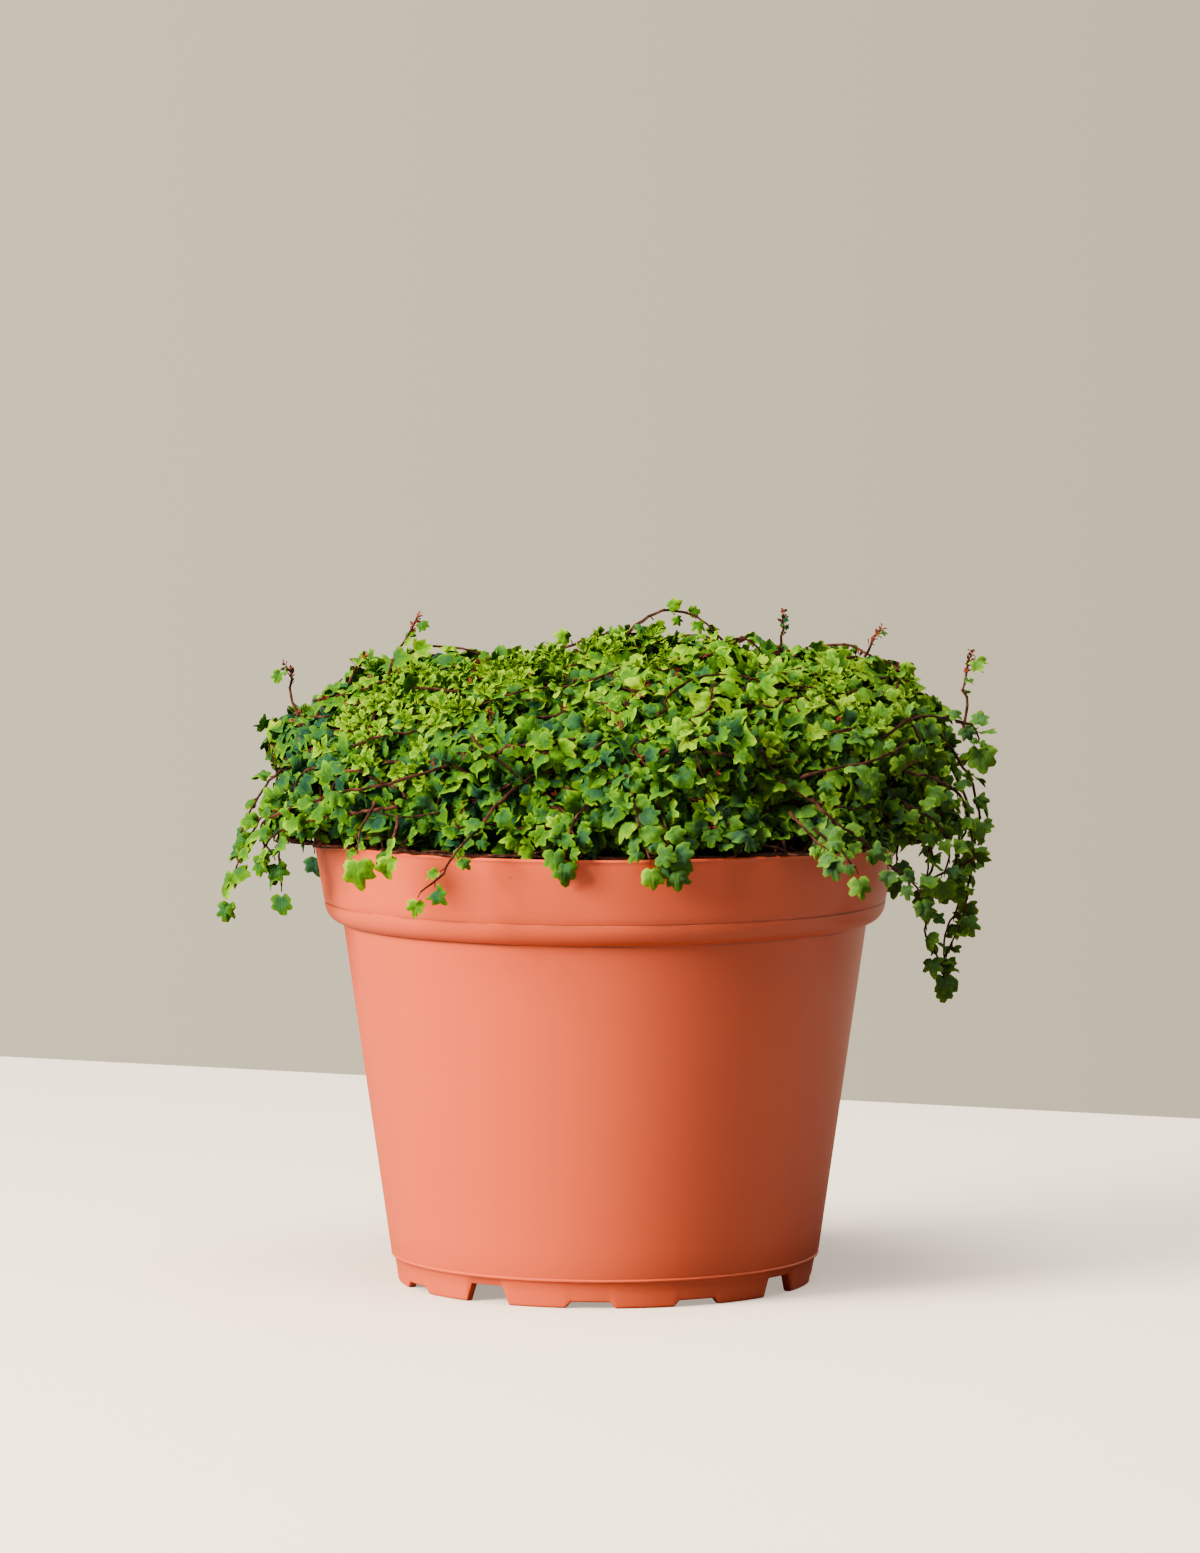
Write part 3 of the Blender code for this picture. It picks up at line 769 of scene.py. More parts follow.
def creep(plant, amount, rng, nodes, depth, wander):
    """Runners that creep over the dome, all grown together. Each starts at its own point of a
    golden-angle spiral, turns as it wanders, is drawn a little downhill, and rises and dips."""
    index = np.arange(amount) + 0.5
    rise = 1 - index / amount * 0.97
    turn = index * GOLDEN_TURN + rng.uniform(-0.2, 0.2, amount)
    start = over_dome(turn, rise, plant)
    heading = rng.uniform(-2.6, 2.6, amount)
    place = on_dome(start, plant, np.full(amount, -depth))
    places, normals, ways = [], [], []
    swing = rng.uniform(0, math.tau, amount)
    pitch = rng.uniform(0.35, 0.75, amount)
    for node in range(nodes):
        normal = dome_normal(place, plant)
        outward = unit(place * [1, 1, 0] + 1e-9)
        down = unit(-UP + dot(normal, UP[None]) * normal + 0.12 * outward)
        side = np.cross(normal, down)
        heading = heading * 0.95 + rng.normal(0, 0.25, amount)
        way = down * np.cos(heading)[:, None] + side * np.sin(heading)[:, None]
        places.append(place)
        normals.append(normal)
        ways.append(way)
        lift = -depth + wander * np.sin(swing + node * pitch)
        place = on_dome(place + way * plant.spacing, plant, lift)
    return np.stack(places, 1), np.stack(normals, 1), np.stack(ways, 1)


def creeping_leaves(places, normals, ways, plant, rng, size, tone_shift, shares):
    """Leaves in two ranks along each runner: by turns left and right, tilted every way about the
    skin's normal, smaller and limier towards the tip. `shares` are the shares of nodes that carry a
    first and a second leaf."""
    amount, nodes = places.shape[:2]
    side = np.cross(normals, ways)
    rank = np.where(np.arange(nodes) % 2 == 0, 1.0, -1.0)[None, :, None]
    family = rng.normal(0, 0.12, (amount, 1))
    tables = []
    for turn, share in zip((1.0, -1.0), shares):
        along = (ways * rng.uniform(-0.5, 0.9, (amount, nodes, 1))
                 + side * rank * turn * rng.uniform(0.3, 1.1, (amount, nodes, 1))
                 + normals * rng.uniform(-0.15, 0.5, (amount, nodes, 1)) - UP * 0.22)
        facing = (normals * 0.72 + UP * 0.30 + LIGHT_WAY * 0.34
                  + rng.normal(0, 0.58, (amount, nodes, 3)))
        young = np.clip((np.arange(nodes) - (nodes - 4)) / 4, 0, 1)[None]
        length = (plant.leaf_length * size * rng.uniform(0.55, 1.3, (amount, nodes))
                  * (1 - 0.40 * young))
        x, z = places[..., 0], places[..., 2] - LIP_TOP
        # Painted light: leaves are lighter and limier to the right and upwards.
        painted_light_tone = (TONE_ACROSS * x + TONE_RIGHT * np.clip(x, 0, None)
                  + TONE_UP * (z - TONE_LEVEL))
        tone = (0.44 + tone_shift + family + painted_light_tone + 0.10 * young
                + rng.normal(0, 0.15, (amount, nodes)))
        keep = rng.uniform(0, 1, (amount, nodes)) < share
        keep &= places[..., 2] > LIP_TOP + 1.0 * MM
        flat = [value[keep] for value in (places, along, facing, length, tone)]
        tables.append(make_leaves(*flat, rng))
    return join(tables)


def clear_of_lip(leaves):
    """Low leaves are first laid level, and any that would still dip below the lip near it or
    outside it is left out, save a little lower on the right side, where the mound overhangs."""
    along, place = leaves["along"], leaves["place"]
    low = place[:, 2] < LIP_TOP + 8 * MM
    along[:, 2] = np.where(low, np.maximum(along[:, 2], 0.05), along[:, 2])
    leaves["along"] = unit(along)
    level = unit(leaves["along"])
    leaves["normal"] = unit(leaves["normal"] - dot(leaves["normal"], level) * level)
    side = np.cross(leaves["along"], leaves["normal"])
    dip = leaves["length"] * (0.5 * np.abs(side[:, 2]) + np.clip(-leaves["along"][:, 2], 0, None))
    bottom = place[:, 2] - dip
    end = place + leaves["along"] * leaves["length"][:, None]
    reach = np.maximum(np.hypot(place[:, 0], place[:, 1]), np.hypot(end[:, 0], end[:, 1]))
    floor = np.where(place[:, 0] > 62 * MM, LIP_TOP - 5 * MM, LIP_TOP + 0.8 * MM)
    return pick(leaves, ~((bottom < floor) & (reach > LIP_RADIUS - 5 * MM)))


def nearest_mat(places, mats):
    """For each place the index of the CAD pad whose middle is nearest."""
    middles = np.array([(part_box(mat)[0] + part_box(mat)[1]) / 2 for mat in mats])
    return np.linalg.norm(places[:, None] - middles[None], axis=-1).argmin(1)


class FROGS_OT_mound(bpy.types.Operator):
    """Make the mound: creeping runners and their leaves, a piece of leaves for each CAD pad"""
    bl_idname = "frogs.mound"
    bl_label = "Mound of runners and leaves"

    def execute(self, context):
        plant = context.scene.frogs_plant
        rng = np.random.default_rng(3)
        blade = leaf_blade_material()
        stem = bark()
        skin = creep(plant, plant.runners, rng, nodes=15, depth=3.0 * MM, wander=2.6 * MM)
        over = creep(plant, plant.over_runners, rng, nodes=16, depth=-1.2 * MM, wander=1.8 * MM)
        inner = creep(plant, plant.inner_runners, rng, nodes=14, depth=12.0 * MM, wander=2.5 * MM)
        leaves = clear_of_lip(join([
            creeping_leaves(*skin, plant, rng, size=1.0, tone_shift=0.0, shares=(1.0, 0.75)),
            creeping_leaves(*over, plant, rng, size=0.85, tone_shift=0.10, shares=(0.6, 0.2)),
            # The inner leaves' tone is 0.25 lower: painted shade for the mound's inside, as well as
            # the darker green of older leaves.
            creeping_leaves(*inner, plant, rng, size=1.2, tone_shift=-0.25, shares=(1.0, 0.8)),
        ]))
        mats = sorted(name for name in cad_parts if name.startswith("leaf_mat"))
        home = nearest_mat(leaves["place"], mats)
        for index, mat in enumerate(mats):
            chosen = home == index
            if not chosen.any():
                raise RuntimeError(f"no leaves fell to {mat}")
            piece = leaf_piece(mat.replace("leaf_mat", "leaves"), pick(leaves, chosen), rng, blade)
            settle(piece, [mat])
        thick = {"runners_creeping": (skin, 0.50), "runners_over": (over, 0.42),
                 "runners_inner": (inner, 0.70)}
        for name, ((places, _, _), radius) in thick.items():
            places = places.copy()
            places[..., 2] = np.maximum(places[..., 2], LIP_TOP - 1.0 * MM)
            share = np.linspace(0, 1, places.shape[1])[None]
            radii = np.repeat((1 - 0.55 * share) * radius * MM, len(places), 0)
            points, faces = tubes(places, radii)
            settle(new_piece(name, points, faces, stem), [])
        return {"FINISHED"}


# ---- new growth


# Patches of tiny new leaves: a direction from the middle of the lip, the patch's half width in
# degrees, and its share of the tufts
PATCHES = [
    ((-0.62, -0.56, 0.62), 7, 0.20), ((-0.36, -0.42, 0.85), 8, 0.20),
    ((-0.16, -0.20, 0.98), 7, 0.15), ((0.08, -0.12, 1.00), 7, 0.16),
    ((0.66, -0.34, 0.66), 6, 0.11), ((-0.45, 0.55, 0.70), 9, 0.09), ((0.35, 0.60, 0.72), 9, 0.09),
]
TUFT_LEAVES, SEEDLING_LEAVES, BUD_BRACTS = 9, 7, 4
BRACT_NODES = 4
SEEDLINGS = 190
SPAN_STEPS = 12


def bud_scale():
    """Papery bracts round a growing tip: dull rose brown, with paler patches."""
    return grained("bud_scale", 500.0, 3.0, [
        (0.35, "#3c120c"), (0.55, "#6b2a1c"), (0.72, "#8a5238"),
    ], {"Roughness": 0.6})


def whorls(place, axis, leaves_each, height, size, lean, tone, rng):
    """Tiny leaves round short axes by the golden angle. Along an axis they go from the first of the
    lean's two angles from it, in degrees, to the second. Height and sizes are in millimetres, and
    the tone is a middle and a spread, or none."""
    amount = len(place)
    across = unit(np.cross(axis, [0.3, 0.9, 0.2]))
    third = np.cross(axis, across)
    step = np.arange(leaves_each)
    angle = step * GOLDEN_TURN + rng.uniform(0, math.tau, (amount, 1))
    lean = np.radians(lean[0] + (lean[1] - lean[0]) * step / leaves_each)[None, :, None]
    out = across[:, None] * np.cos(angle)[..., None] + third[:, None] * np.sin(angle)[..., None]
    along = axis[:, None] * np.cos(lean) + out * np.sin(lean)
    normal = axis[:, None] * np.sin(lean) - out * np.cos(lean)
    foot = place[:, None] + axis[:, None] * (step / leaves_each * height * MM)[None, :, None]
    length = rng.uniform(*size, (amount, leaves_each)) * (1 - 0.35 * step / leaves_each) * MM
    foot, along, normal = (value.reshape(-1, 3) for value in (foot, along, normal))
    tones = tone[0] + rng.normal(0, tone[1], len(foot)) if tone else np.zeros(len(foot))
    return make_leaves(foot, along, normal, length.ravel(), tones, rng, (0.0, 0.2))


class FROGS_OT_new_growth(bpy.types.Operator):
    """Make the patches of tiny lime leaves on the lit side, and the rosy buds at runners' tips"""
    bl_idname = "frogs.new_growth"
    bl_label = "New leaves and buds"

    def execute(self, context):
        plant = context.scene.frogs_plant
        rng = np.random.default_rng(8)
        starts = []
        for way, half_deg, share in PATCHES:
            middle = unit(np.array(way))
            spread = math.tan(math.radians(half_deg))
            jitter = rng.normal(0, spread, (round(plant.tufts * share), 3))
            starts.append(unit(middle + jitter - dot(jitter, middle[None]) * middle))
        size = np.array([plant.right_width, plant.back_depth, plant.height])
        start = np.concatenate(starts)
        start[:, 2] = np.abs(start[:, 2])
        lift = rng.uniform(-1.0, 1.5, len(start)) * MM
        place = on_dome(start * size + [0, 0, LIP_TOP], plant, lift)
        skin = dome_normal(place, plant)
        axis = unit(skin + rng.normal(0, 0.28, place.shape) + UP * 0.25)
        tufts = whorls(place, axis, TUFT_LEAVES, 2.6, (3.0, 4.8), (80, 20), (0.80, 0.10), rng)
        blade = bpy.data.materials["fig_leaf_blade"]
        leaves = join([tufts, self.seedlings(rng)])
        settle(leaf_piece("new_growth", leaves, rng, blade, TINY_EDGE, (1.0,)), [])
        self.buds(plant, rng)
        return {"FINISHED"}

    def seedlings(self, rng):
        """Low whorls of tiny dark leaves on the potting mix, just inside the pot's lip."""
        turn = rng.uniform(0, math.tau, SEEDLINGS)
        reach = LIP_RADIUS - rng.uniform(5.0, 12.0, SEEDLINGS) * MM
        place = round_places(reach, turn, LIP_TOP - 1.6 * MM)
        axis = unit(UP + rng.normal(0, 0.25, place.shape))
        return whorls(place, axis, SEEDLING_LEAVES, 2.2, (1.6, 3.0), (80, 25), (0.42, 0.12), rng)

    def buds(self, plant, rng):
        """Rosy buds over the skin and along the shoots' tips, a few pointed bracts in each."""
        turn = rng.uniform(0, math.tau, plant.buds)
        rise = rng.uniform(0.05, 1.0, plant.buds)
        lift = rng.uniform(-1.5, 1.2, plant.buds) * MM
        place = on_dome(over_dome(turn, rise, plant), plant, lift)
        axis = unit(dome_normal(place, plant) + rng.normal(0, 0.6, place.shape))
        for *_, course in SHOOTS.values():
            tip = even_way(smooth_way(course, SPAN_STEPS), 1.6 * MM)[-BRACT_NODES:]
            place = np.concatenate([place, tip])
            ahead = np.gradient(tip, axis=0) + rng.normal(0, 0.2 * MM, tip.shape)
            axis = np.concatenate([axis, unit(ahead)])
        bracts = whorls(place, axis, BUD_BRACTS, 0.8, (1.3, 2.4), (45, 10), None, rng)
        settle(leaf_piece("buds", bracts, rng, bud_scale(), TINY_EDGE, (1.0,)), [])


# ---- trailing runners


# Runners with a course of their own. Each has its leaves' length, their tone, the distance between
# two leaves, the share of the course with no leaves, the length of the leaf that hangs at its end,
# and the points that it passes from inside the mound outwards. Lengths are in millimetres
# The trails on the right carry a higher tone than those on the left: painted light on the side the
# key misses.
TRAILS = {
    "left": (7.0, 0.46, 2.9, 0.35, 7.0, [(-38, -62, 140), (-47, -65, 137), (-56, -61, 134),
        (-65, -54, 132), (-76, -42, 128), (-87, -30, 124), (-90, -27, 120), (-93, -25, 115),
        (-95, -24, 109), (-97, -23, 103)]),
    "left_low": (6.6, 0.46, 3.4, 0.3, 6.5, [(-52, -64, 129), (-66, -54, 126), (-74, -46, 124),
        (-80, -40, 122), (-85, -36, 119), (-88, -32, 115)]),
    "left_spur": (6.6, 0.46, 3.2, 0.2, 6.5, [(-82, -35, 125), (-87, -32, 123), (-88, -31, 118),
        (-85, -31, 114)]),
    "left_upper": (6.8, 0.48, 3.4, 0.3, 6.5, [(-70, -24, 142), (-82, -20, 136), (-90, -18, 127),
        (-94, -17, 118)]),
    "front_left": (6.0, 0.42, 4.0, 0.3, 5.5, [(-13, -66, 138), (-18, -67, 137), (-24, -70, 133),
        (-28, -73, 129), (-31, -75, 125), (-34, -77, 122), (-38, -80, 118), (-41, -81, 113),
        (-46, -82, 109)]),
    "lip_leaf_left": (6.0, 0.6, 4.0, 0.8, 9.5, [(-58, -64, 130), (-61, -68, 124),
        (-62, -71, 119)]),
    "lip_leaf_flat": (6.5, 0.5, 4.0, 0.6, 6.5, [(-52, -64, 127), (-53, -70, 122),
        (-54, -73, 119)]),
    "front_dark": (7.5, 0.42, 2.0, 0.1, 7.5, [(-4, -70, 131), (-8, -75, 126), (-10, -78, 119)]),
    "front_dark_side": (7.2, 0.34, 2.2, 0.1, 7.2, [(-10, -67, 131), (-13, -73, 126),
        (-13, -77, 122)]),
    "front_centre": (7.6, 0.44, 2.1, 0.35, 7.0, [(4, -62, 150), (5, -68, 141), (7, -73, 132),
        (9, -77, 124), (11, -80, 117)]),
    "front_centre_side": (7.4, 0.44, 2.4, 0.2, 7.0, [(10, -66, 137), (13, -72, 130),
        (15, -77, 123), (17, -79, 117)]),
    "front_right_leaf": (6.0, 0.42, 4.0, 0.8, 8.0, [(46, -68, 128), (51, -72, 123),
        (55, -74, 119)]),
    "right_front": (6.8, 0.48, 3.6, 0.2, 7.0, [(52, -64, 131), (58, -66, 125), (64, -63, 121),
        (69, -58, 116), (75, -52, 111), (80, -47, 106)]),
    "right_front_low": (6.8, 0.48, 3.6, 0.3, 7.5, [(52, -68, 124), (58, -69, 119),
        (63, -69, 114)]),
    "right_thick": (6.5, 0.5, 5.0, 0.2, 6.0, [(49, -60, 136), (56, -60, 138), (62, -58, 139),
        (68, -54, 140), (74, -49, 142), (78, -45, 145)]),
    "right_arch": (6.0, 0.5, 6.5, 0.2, 0.0, [(66, -48, 142), (72, -44, 146), (77, -40, 149),
        (82, -36, 150), (87, -32, 149), (91, -28, 148), (95, -25, 145)]),
    "right_arch_leaf": (5.0, 0.46, 6.0, 0.9, 9.5, [(90, -30, 148), (94, -28, 147),
        (95.5, -27, 144)]),
    "right_outer": (6.6, 0.58, 3.3, 0.1, 6.5, [(76.5, -40, 136), (83.5, -36, 134),
        (87, -30, 132), (91, -26, 129), (93, -24, 125), (94, -22, 120), (95, -20, 114),
        (94, -19, 107), (93, -18, 100), (91, -17, 92), (88, -16, 86), (87.5, -15, 81)]),
    "right_mid": (6.4, 0.52, 3.4, 0.1, 6.5, [(78, -10, 136), (85, -6, 129), (91, -4, 122),
        (92, -3, 115), (91, -3, 107), (92, -3, 99), (89, -4, 92), (88, -5, 86), (89, -6, 82)]),
    "right_inner": (6.5, 0.56, 3.3, 0.1, 6.5, [(73, -34, 130), (79, -32, 125), (83, -30, 118),
        (84, -29, 111), (82, -28, 105), (83, -27, 98), (82, -26, 93), (85, -24, 88),
        (87, -21, 84)]),
    "right_edge": (6.6, 0.62, 3.5, 0.0, 6.5, [(83.5, -14, 146), (90, -12, 139), (95, -10, 130),
        (97, -9, 121), (95, -8, 113), (92, -8, 106)]),
    "right_back": (6.4, 0.5, 3.6, 0.1, 6.5, [(85.5, 4, 140), (91, 8, 132), (95, 10, 122),
        (93, 11, 112), (90, 12, 104)]),
    "right_cross": (6.2, 0.52, 3.6, 0.0, 7.0, [(95, -20, 112), (92, -19, 110), (87.5, -17, 108),
        (83.5, -16, 105)]),
    "right_drop": (6.6, 0.56, 3.4, 0.0, 7.5, [(76, -44, 128), (84, -38, 123), (88, -35, 116),
        (87, -33, 110)]),
    "top_arch": (5.2, 0.48, 2.8, 0.0, 5.0, [(20, -8, 157), (25, -8, 162), (28, -8, 165),
        (31, -8, 167), (35, -8, 168), (39, -8, 166), (43, -8, 161)]),
    "crown_arch": (5.2, 0.58, 2.8, 0.0, 5.0, [(3, -4, 166), (8, -4, 171), (14, -4, 174.5),
        (21, -4, 174.5), (27, -5, 171), (31, -6, 166)]),
    "top_left_arch": (5.0, 0.58, 4.0, 0.1, 0.0, [(-20, -2, 158), (-14, -2, 163), (-6, -2, 167),
        (2, -2, 169), (8, -2, 169)]),
    "skyline_arch": (5.2, 0.42, 5.0, 0.0, 5.0, [(40, -4, 160), (44, -4, 164), (48, -4, 164.5),
        (53, -4, 164.5), (59, -4, 166), (65, -4, 165.5), (69, -6, 163), (73, -8, 162),
        (76, -10, 159), (78, -12, 156), (79, -14, 152)]),
    "inner_arch": (5.5, 0.55, 7.0, 0.1, 0.0, [(38, -31, 151), (41, -31, 155.5), (44, -31, 158),
        (48, -31, 158.5), (53, -31, 158), (57, -31, 156)]),
    "mid_arch": (5.5, 0.45, 6.0, 0.1, 6.0, [(26, -50, 149), (33, -49, 153), (41, -47, 153),
        (48, -46, 151), (54, -46, 147)]),
    "crown_left": (5.5, 0.55, 7.0, 0.2, 5.0, [(-64, -48, 143), (-56, -50, 146), (-48, -51, 147),
        (-40, -51, 150)]),
}
# Thin young shoots that stand clear of the mound: the same facts of each
SHOOTS = {
    "upright_shoot": (6.5, 0.5, 4.0, 0.45, 0.0, [(-60, -45, 146), (-58.5, -36, 151),
        (-56, -26, 158), (-53.5, -22, 165), (-50, -18, 170.5), (-48, -16, 174)]),
    "left_tendril": (2.5, 0.5, 20.0, 0.9, 4.6, [(-79, -20, 149), (-81, -18, 154),
        (-80.5, -18, 159), (-82, -18, 161.5)]),
    "left_twig": (4.5, 0.56, 3.0, 0.5, 2.5, [(-66, -20, 157), (-64, -18, 161),
        (-62, -17, 163.5)]),
    "right_tendril": (5.2, 0.52, 8.5, 0.55, 0.0, [(92, -22, 144), (93, -20, 152), (92, -20, 156),
        (93, -20, 160), (94, -20, 164.5)]),
    "top_red_tip": (2.2, 0.2, 2.0, 0.75, 0.0, [(45, -4, 163), (46, -4, 169), (46, -4, 174)]),
    "right_red_tip": (2.2, 0.3, 3.0, 0.8, 0.0, [(67, -8, 163), (69, -8, 167), (71, -8, 170)]),
}
PETIOLE = 1.6 * MM
TRAIL_ELLIPSE = (93, 81)
STEM_FOOT, STEM_TIP, STALK_RADIUS = 0.46 * MM, 0.26 * MM, 0.16 * MM


def smooth_way(points, steps):
    """A Catmull-Rom curve through points in millimetres, each span read at `steps` even shares."""
    points = np.array(points, float) * MM
    points = np.concatenate([2 * points[:1] - points[1:2], points, 2 * points[-1:] - points[-2:-1]])
    before, start, end, after = (points[k:len(points) - 3 + k][:, None] for k in range(4))
    t = np.linspace(0, 1, steps, endpoint=False)[None, :, None]
    square = 2 * before - 5 * start + 4 * end - after
    cube = 3 * start - before - 3 * end + after
    curve = 0.5 * (2 * start + (end - before) * t + square * t ** 2 + cube * t ** 3)
    return np.concatenate([curve.reshape(-1, 3), points[-2:-1]])


def even_way(way, spacing):
    """The way read again at even distances along it."""
    walked = np.concatenate([[0], np.cumsum(np.linalg.norm(np.diff(way, axis=0), axis=1))])
    marks = np.linspace(0, walked[-1], max(4, int(walked[-1] / spacing) + 1))
    return np.stack([np.interp(marks, walked, way[:, axis]) for axis in range(3)], -1)


def trail_leaves(way, size, tone, last, rng):
    """Leaves along a free runner, each on a short stalk: by turns to each side and outwards,
    drooping, and one of length `last` hanging from its end. Gives the leaves and their stalks."""
    nodes = len(way)
    ahead = unit(np.gradient(way, axis=0))
    outward = unit(way * [1, 1, 0] + [0, -0.004, 0])
    side = unit(np.cross(ahead, outward))
    rank = np.where(np.arange(nodes) % 2 == 0, 1.0, -1.0)[:, None]
    along = (ahead * rng.uniform(-0.3, 0.6, (nodes, 1))
             + side * rank * rng.uniform(0.4, 1.0, (nodes, 1))
             + outward * rng.uniform(0.0, 0.6, (nodes, 1)) - UP * rng.uniform(0.1, 0.8, (nodes, 1)))
    facing = outward * 0.5 + UP * 0.30 + LIGHT_WAY * 0.8 + rng.normal(0, 0.38, (nodes, 3))
    length = size * MM * rng.uniform(0.5, 1.0, nodes)
    if last:
        along[-1] = ahead[-1] * 0.4 + [0, -0.15, -1.0]
        facing[-1] = outward[-1] * 0.4 + [-0.15, -1.0, 0.3]
        length[-1] = last * 0.9 * MM
    stalk = unit(along + ahead * 0.5) * PETIOLE
    foot = way + stalk
    stalks = np.stack([way, way + stalk * 0.5 + UP * 0.1 * MM, foot], 1)
    tones = tone + rng.normal(0, 0.12, nodes)
    return make_leaves(foot, along, facing, length, tones, rng, (0.7, 1.1)), stalks


def auto_trail(turn, hang):
    """A short runner for a side that has none, in millimetres: out of the mound at a turn, along
    the radius of an ellipse, and down past the lip."""
    level = np.array([math.cos(turn), math.sin(turn), 0.0])
    radius = 1 / math.hypot(level[0] / TRAIL_ELLIPSE[0], level[1] / TRAIL_ELLIPSE[1])
    reach = (0.80, 0.93, 1.0, 1.01, 1.0)
    height = (152, 138, 122, 116 - hang * 0.4, 116 - hang)
    return [tuple(level * radius * share + [0, 0, z]) for share, z in zip(reach, height)]


class FROGS_OT_trails(bpy.types.Operator):
    """Make the runners that trail over the lip, the shoots that stand clear, and their leaves"""
    bl_idname = "frogs.trails"
    bl_label = "Trailing runners and shoots"

    def execute(self, context):
        rng = np.random.default_rng(21)
        runners = sorted(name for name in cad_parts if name.startswith("runner_"))
        cad_turns = np.arange(len(runners)) * math.tau / len(runners)
        groups = {index: [] for index in range(len(runners))}
        for facts in [*TRAILS.values(), *list(SHOOTS.values())[1:]]:
            end = facts[-1][-1]
            away = np.abs((cad_turns - math.atan2(end[1], end[0]) + math.pi) % math.tau - math.pi)
            groups[int(away.argmin())].append(facts)
        for index, group in groups.items():
            if not group or math.sin(cad_turns[index]) > 0.1:
                for shift in (-0.16, 0.0, 0.17):
                    course = auto_trail(cad_turns[index] + shift, rng.uniform(4, 18))
                    group.append((6.8, 0.36, 3.6, 0.1, 7.0, course))
        leaf_nodes = sorted(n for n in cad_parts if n.startswith("leaf_") and "mat" not in n)
        middles = np.array([(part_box(n)[0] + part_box(n)[1]) / 2 for n in leaf_nodes])
        node_turn = np.arctan2(middles[:, 1], middles[:, 0])
        away = np.abs((cad_turns[None] - node_turn[:, None] + math.pi) % math.tau - math.pi)
        owner = away.argmin(1)
        for index, group in groups.items():
            owned = [name for name, home in zip(leaf_nodes, owner) if home == index]
            self.make(f"{index + 1:02d}", group, [runners[index]], owned, rng)
        self.make("shoot", [SHOOTS["upright_shoot"]], ["upright_shoot"],
                  ["upright_shoot_leaf"], rng)
        return {"FINISHED"}

    def make(self, title, group, stem_nodes, leaf_nodes, rng):
        points, faces, tables, offset = [], [[], []], [], 0
        for size, tone, gap, bare, last, course in group:
            way = even_way(smooth_way(course, SPAN_STEPS), 1.8 * MM)
            way += rng.normal(0, 0.16 * MM, way.shape)
            share = np.linspace(0, 1, len(way))[None]
            nodes = even_way(way[int(bare * (len(way) - 1)):], gap * MM)
            leaves, stalks = trail_leaves(nodes, size, tone, last, rng)
            tables.append(leaves)
            for paths, radii in ((way[None], STEM_FOOT + (STEM_TIP - STEM_FOOT) * share),
                                 (stalks, np.full(stalks.shape[:2], STALK_RADIUS))):
                some, parts = tubes(paths, radii)
                points.append(some)
                for store, part in zip(faces, parts):
                    store.append(part + offset)
                offset += len(some)
        stem, blade = (bpy.data.materials[name] for name in ("fig_bark", "fig_leaf_blade"))
        stems = new_piece(f"trailing_stem_{title}", np.concatenate(points),
                          [np.concatenate(store) for store in faces], stem)
        settle(stems, stem_nodes)
        leaves = leaf_piece(f"trailing_leaves_{title}", join(tables), rng, blade, HALF_EDGE,
                            FINE_RINGS)
        settle(leaves, leaf_nodes)


# ---- stage


AIM = (0.0, 0.0, 0.10)
TABLE_HALF, TABLE_FRONT = 3.0, -4.0
# The table's far edge: its distance on the axis, and its turn from the pot's left-right line
TABLE_BACK, TABLE_TURN_DEG = 0.405, -23.0
CAMERA_PLACE, CAMERA_DOWN_DEG = (-0.0013, -1.849, 0.278), 4.53


def plain_floor(settings):
    """Pale matt board with a very faint mottle, its shadows soft: a painted glow, even over the
    board and seen by the camera only, lifts its shadows and lights nothing. It throws back less
    light than it shows, as when black cards stand round it, and reflections see it painted brighter
    towards the right front, a painted white card."""
    made, shader, node = new_material("acrylic_board_lit")
    place = node("TexCoord", out="Object")
    board = clouded(node, place, 9.0, 4.0, (*settings.table, 1.0), 0.96)
    rays = node("LightPath").node.outputs
    parts = node("SeparateXYZ", [place]).node.outputs
    across = node("Math", [parts["Y"], -0.8, parts["X"]], operation="MULTIPLY_ADD")
    # Painted reflection: for glossy rays the board is brighter towards the right front, standing in
    # for a white card there.
    card = node("MapRange", [across, 0.04, 0.22, 0.03, 0.34])
    sight = node("Math", [rays["Is Glossy Ray"], card, rays["Is Camera Ray"]],
                 operation="MULTIPLY_ADD")
    feed(shader, {
        "Base Color": node("Mix", {"Factor": sight, "A": linear("#6a6259"), "B": board}, "Result",
                           data_type="RGBA"),
        # Painted glow: the board emits for camera rays only, lifting its shadows and lighting
        # nothing.
        "Emission Strength": node("Math", [rays["Is Camera Ray"], 0.55], operation="MULTIPLY"),
        "Emission Color": linear("#f6e3d0"), "Roughness": 0.85,
    })
    return made


def area_light(name, place, size, power, tint):
    """A round soft light aimed at the pot, left out of reflections as a large diffuser is."""
    data = bpy.data.lights.new(name, "AREA")
    data.shape = "DISK"
    data.size = size
    data.energy = power
    data.color = tint
    lamp = bpy.data.objects.new(name, data)
    lamp.location = place
    lamp.visible_glossy = False
    lamp.rotation_mode = "QUATERNION"
    aim = Vector(AIM) - Vector(place)
    lamp.rotation_quaternion = aim.to_track_quat("-Z", "Y")
    bpy.context.scene.collection.objects.link(lamp)
    return lamp


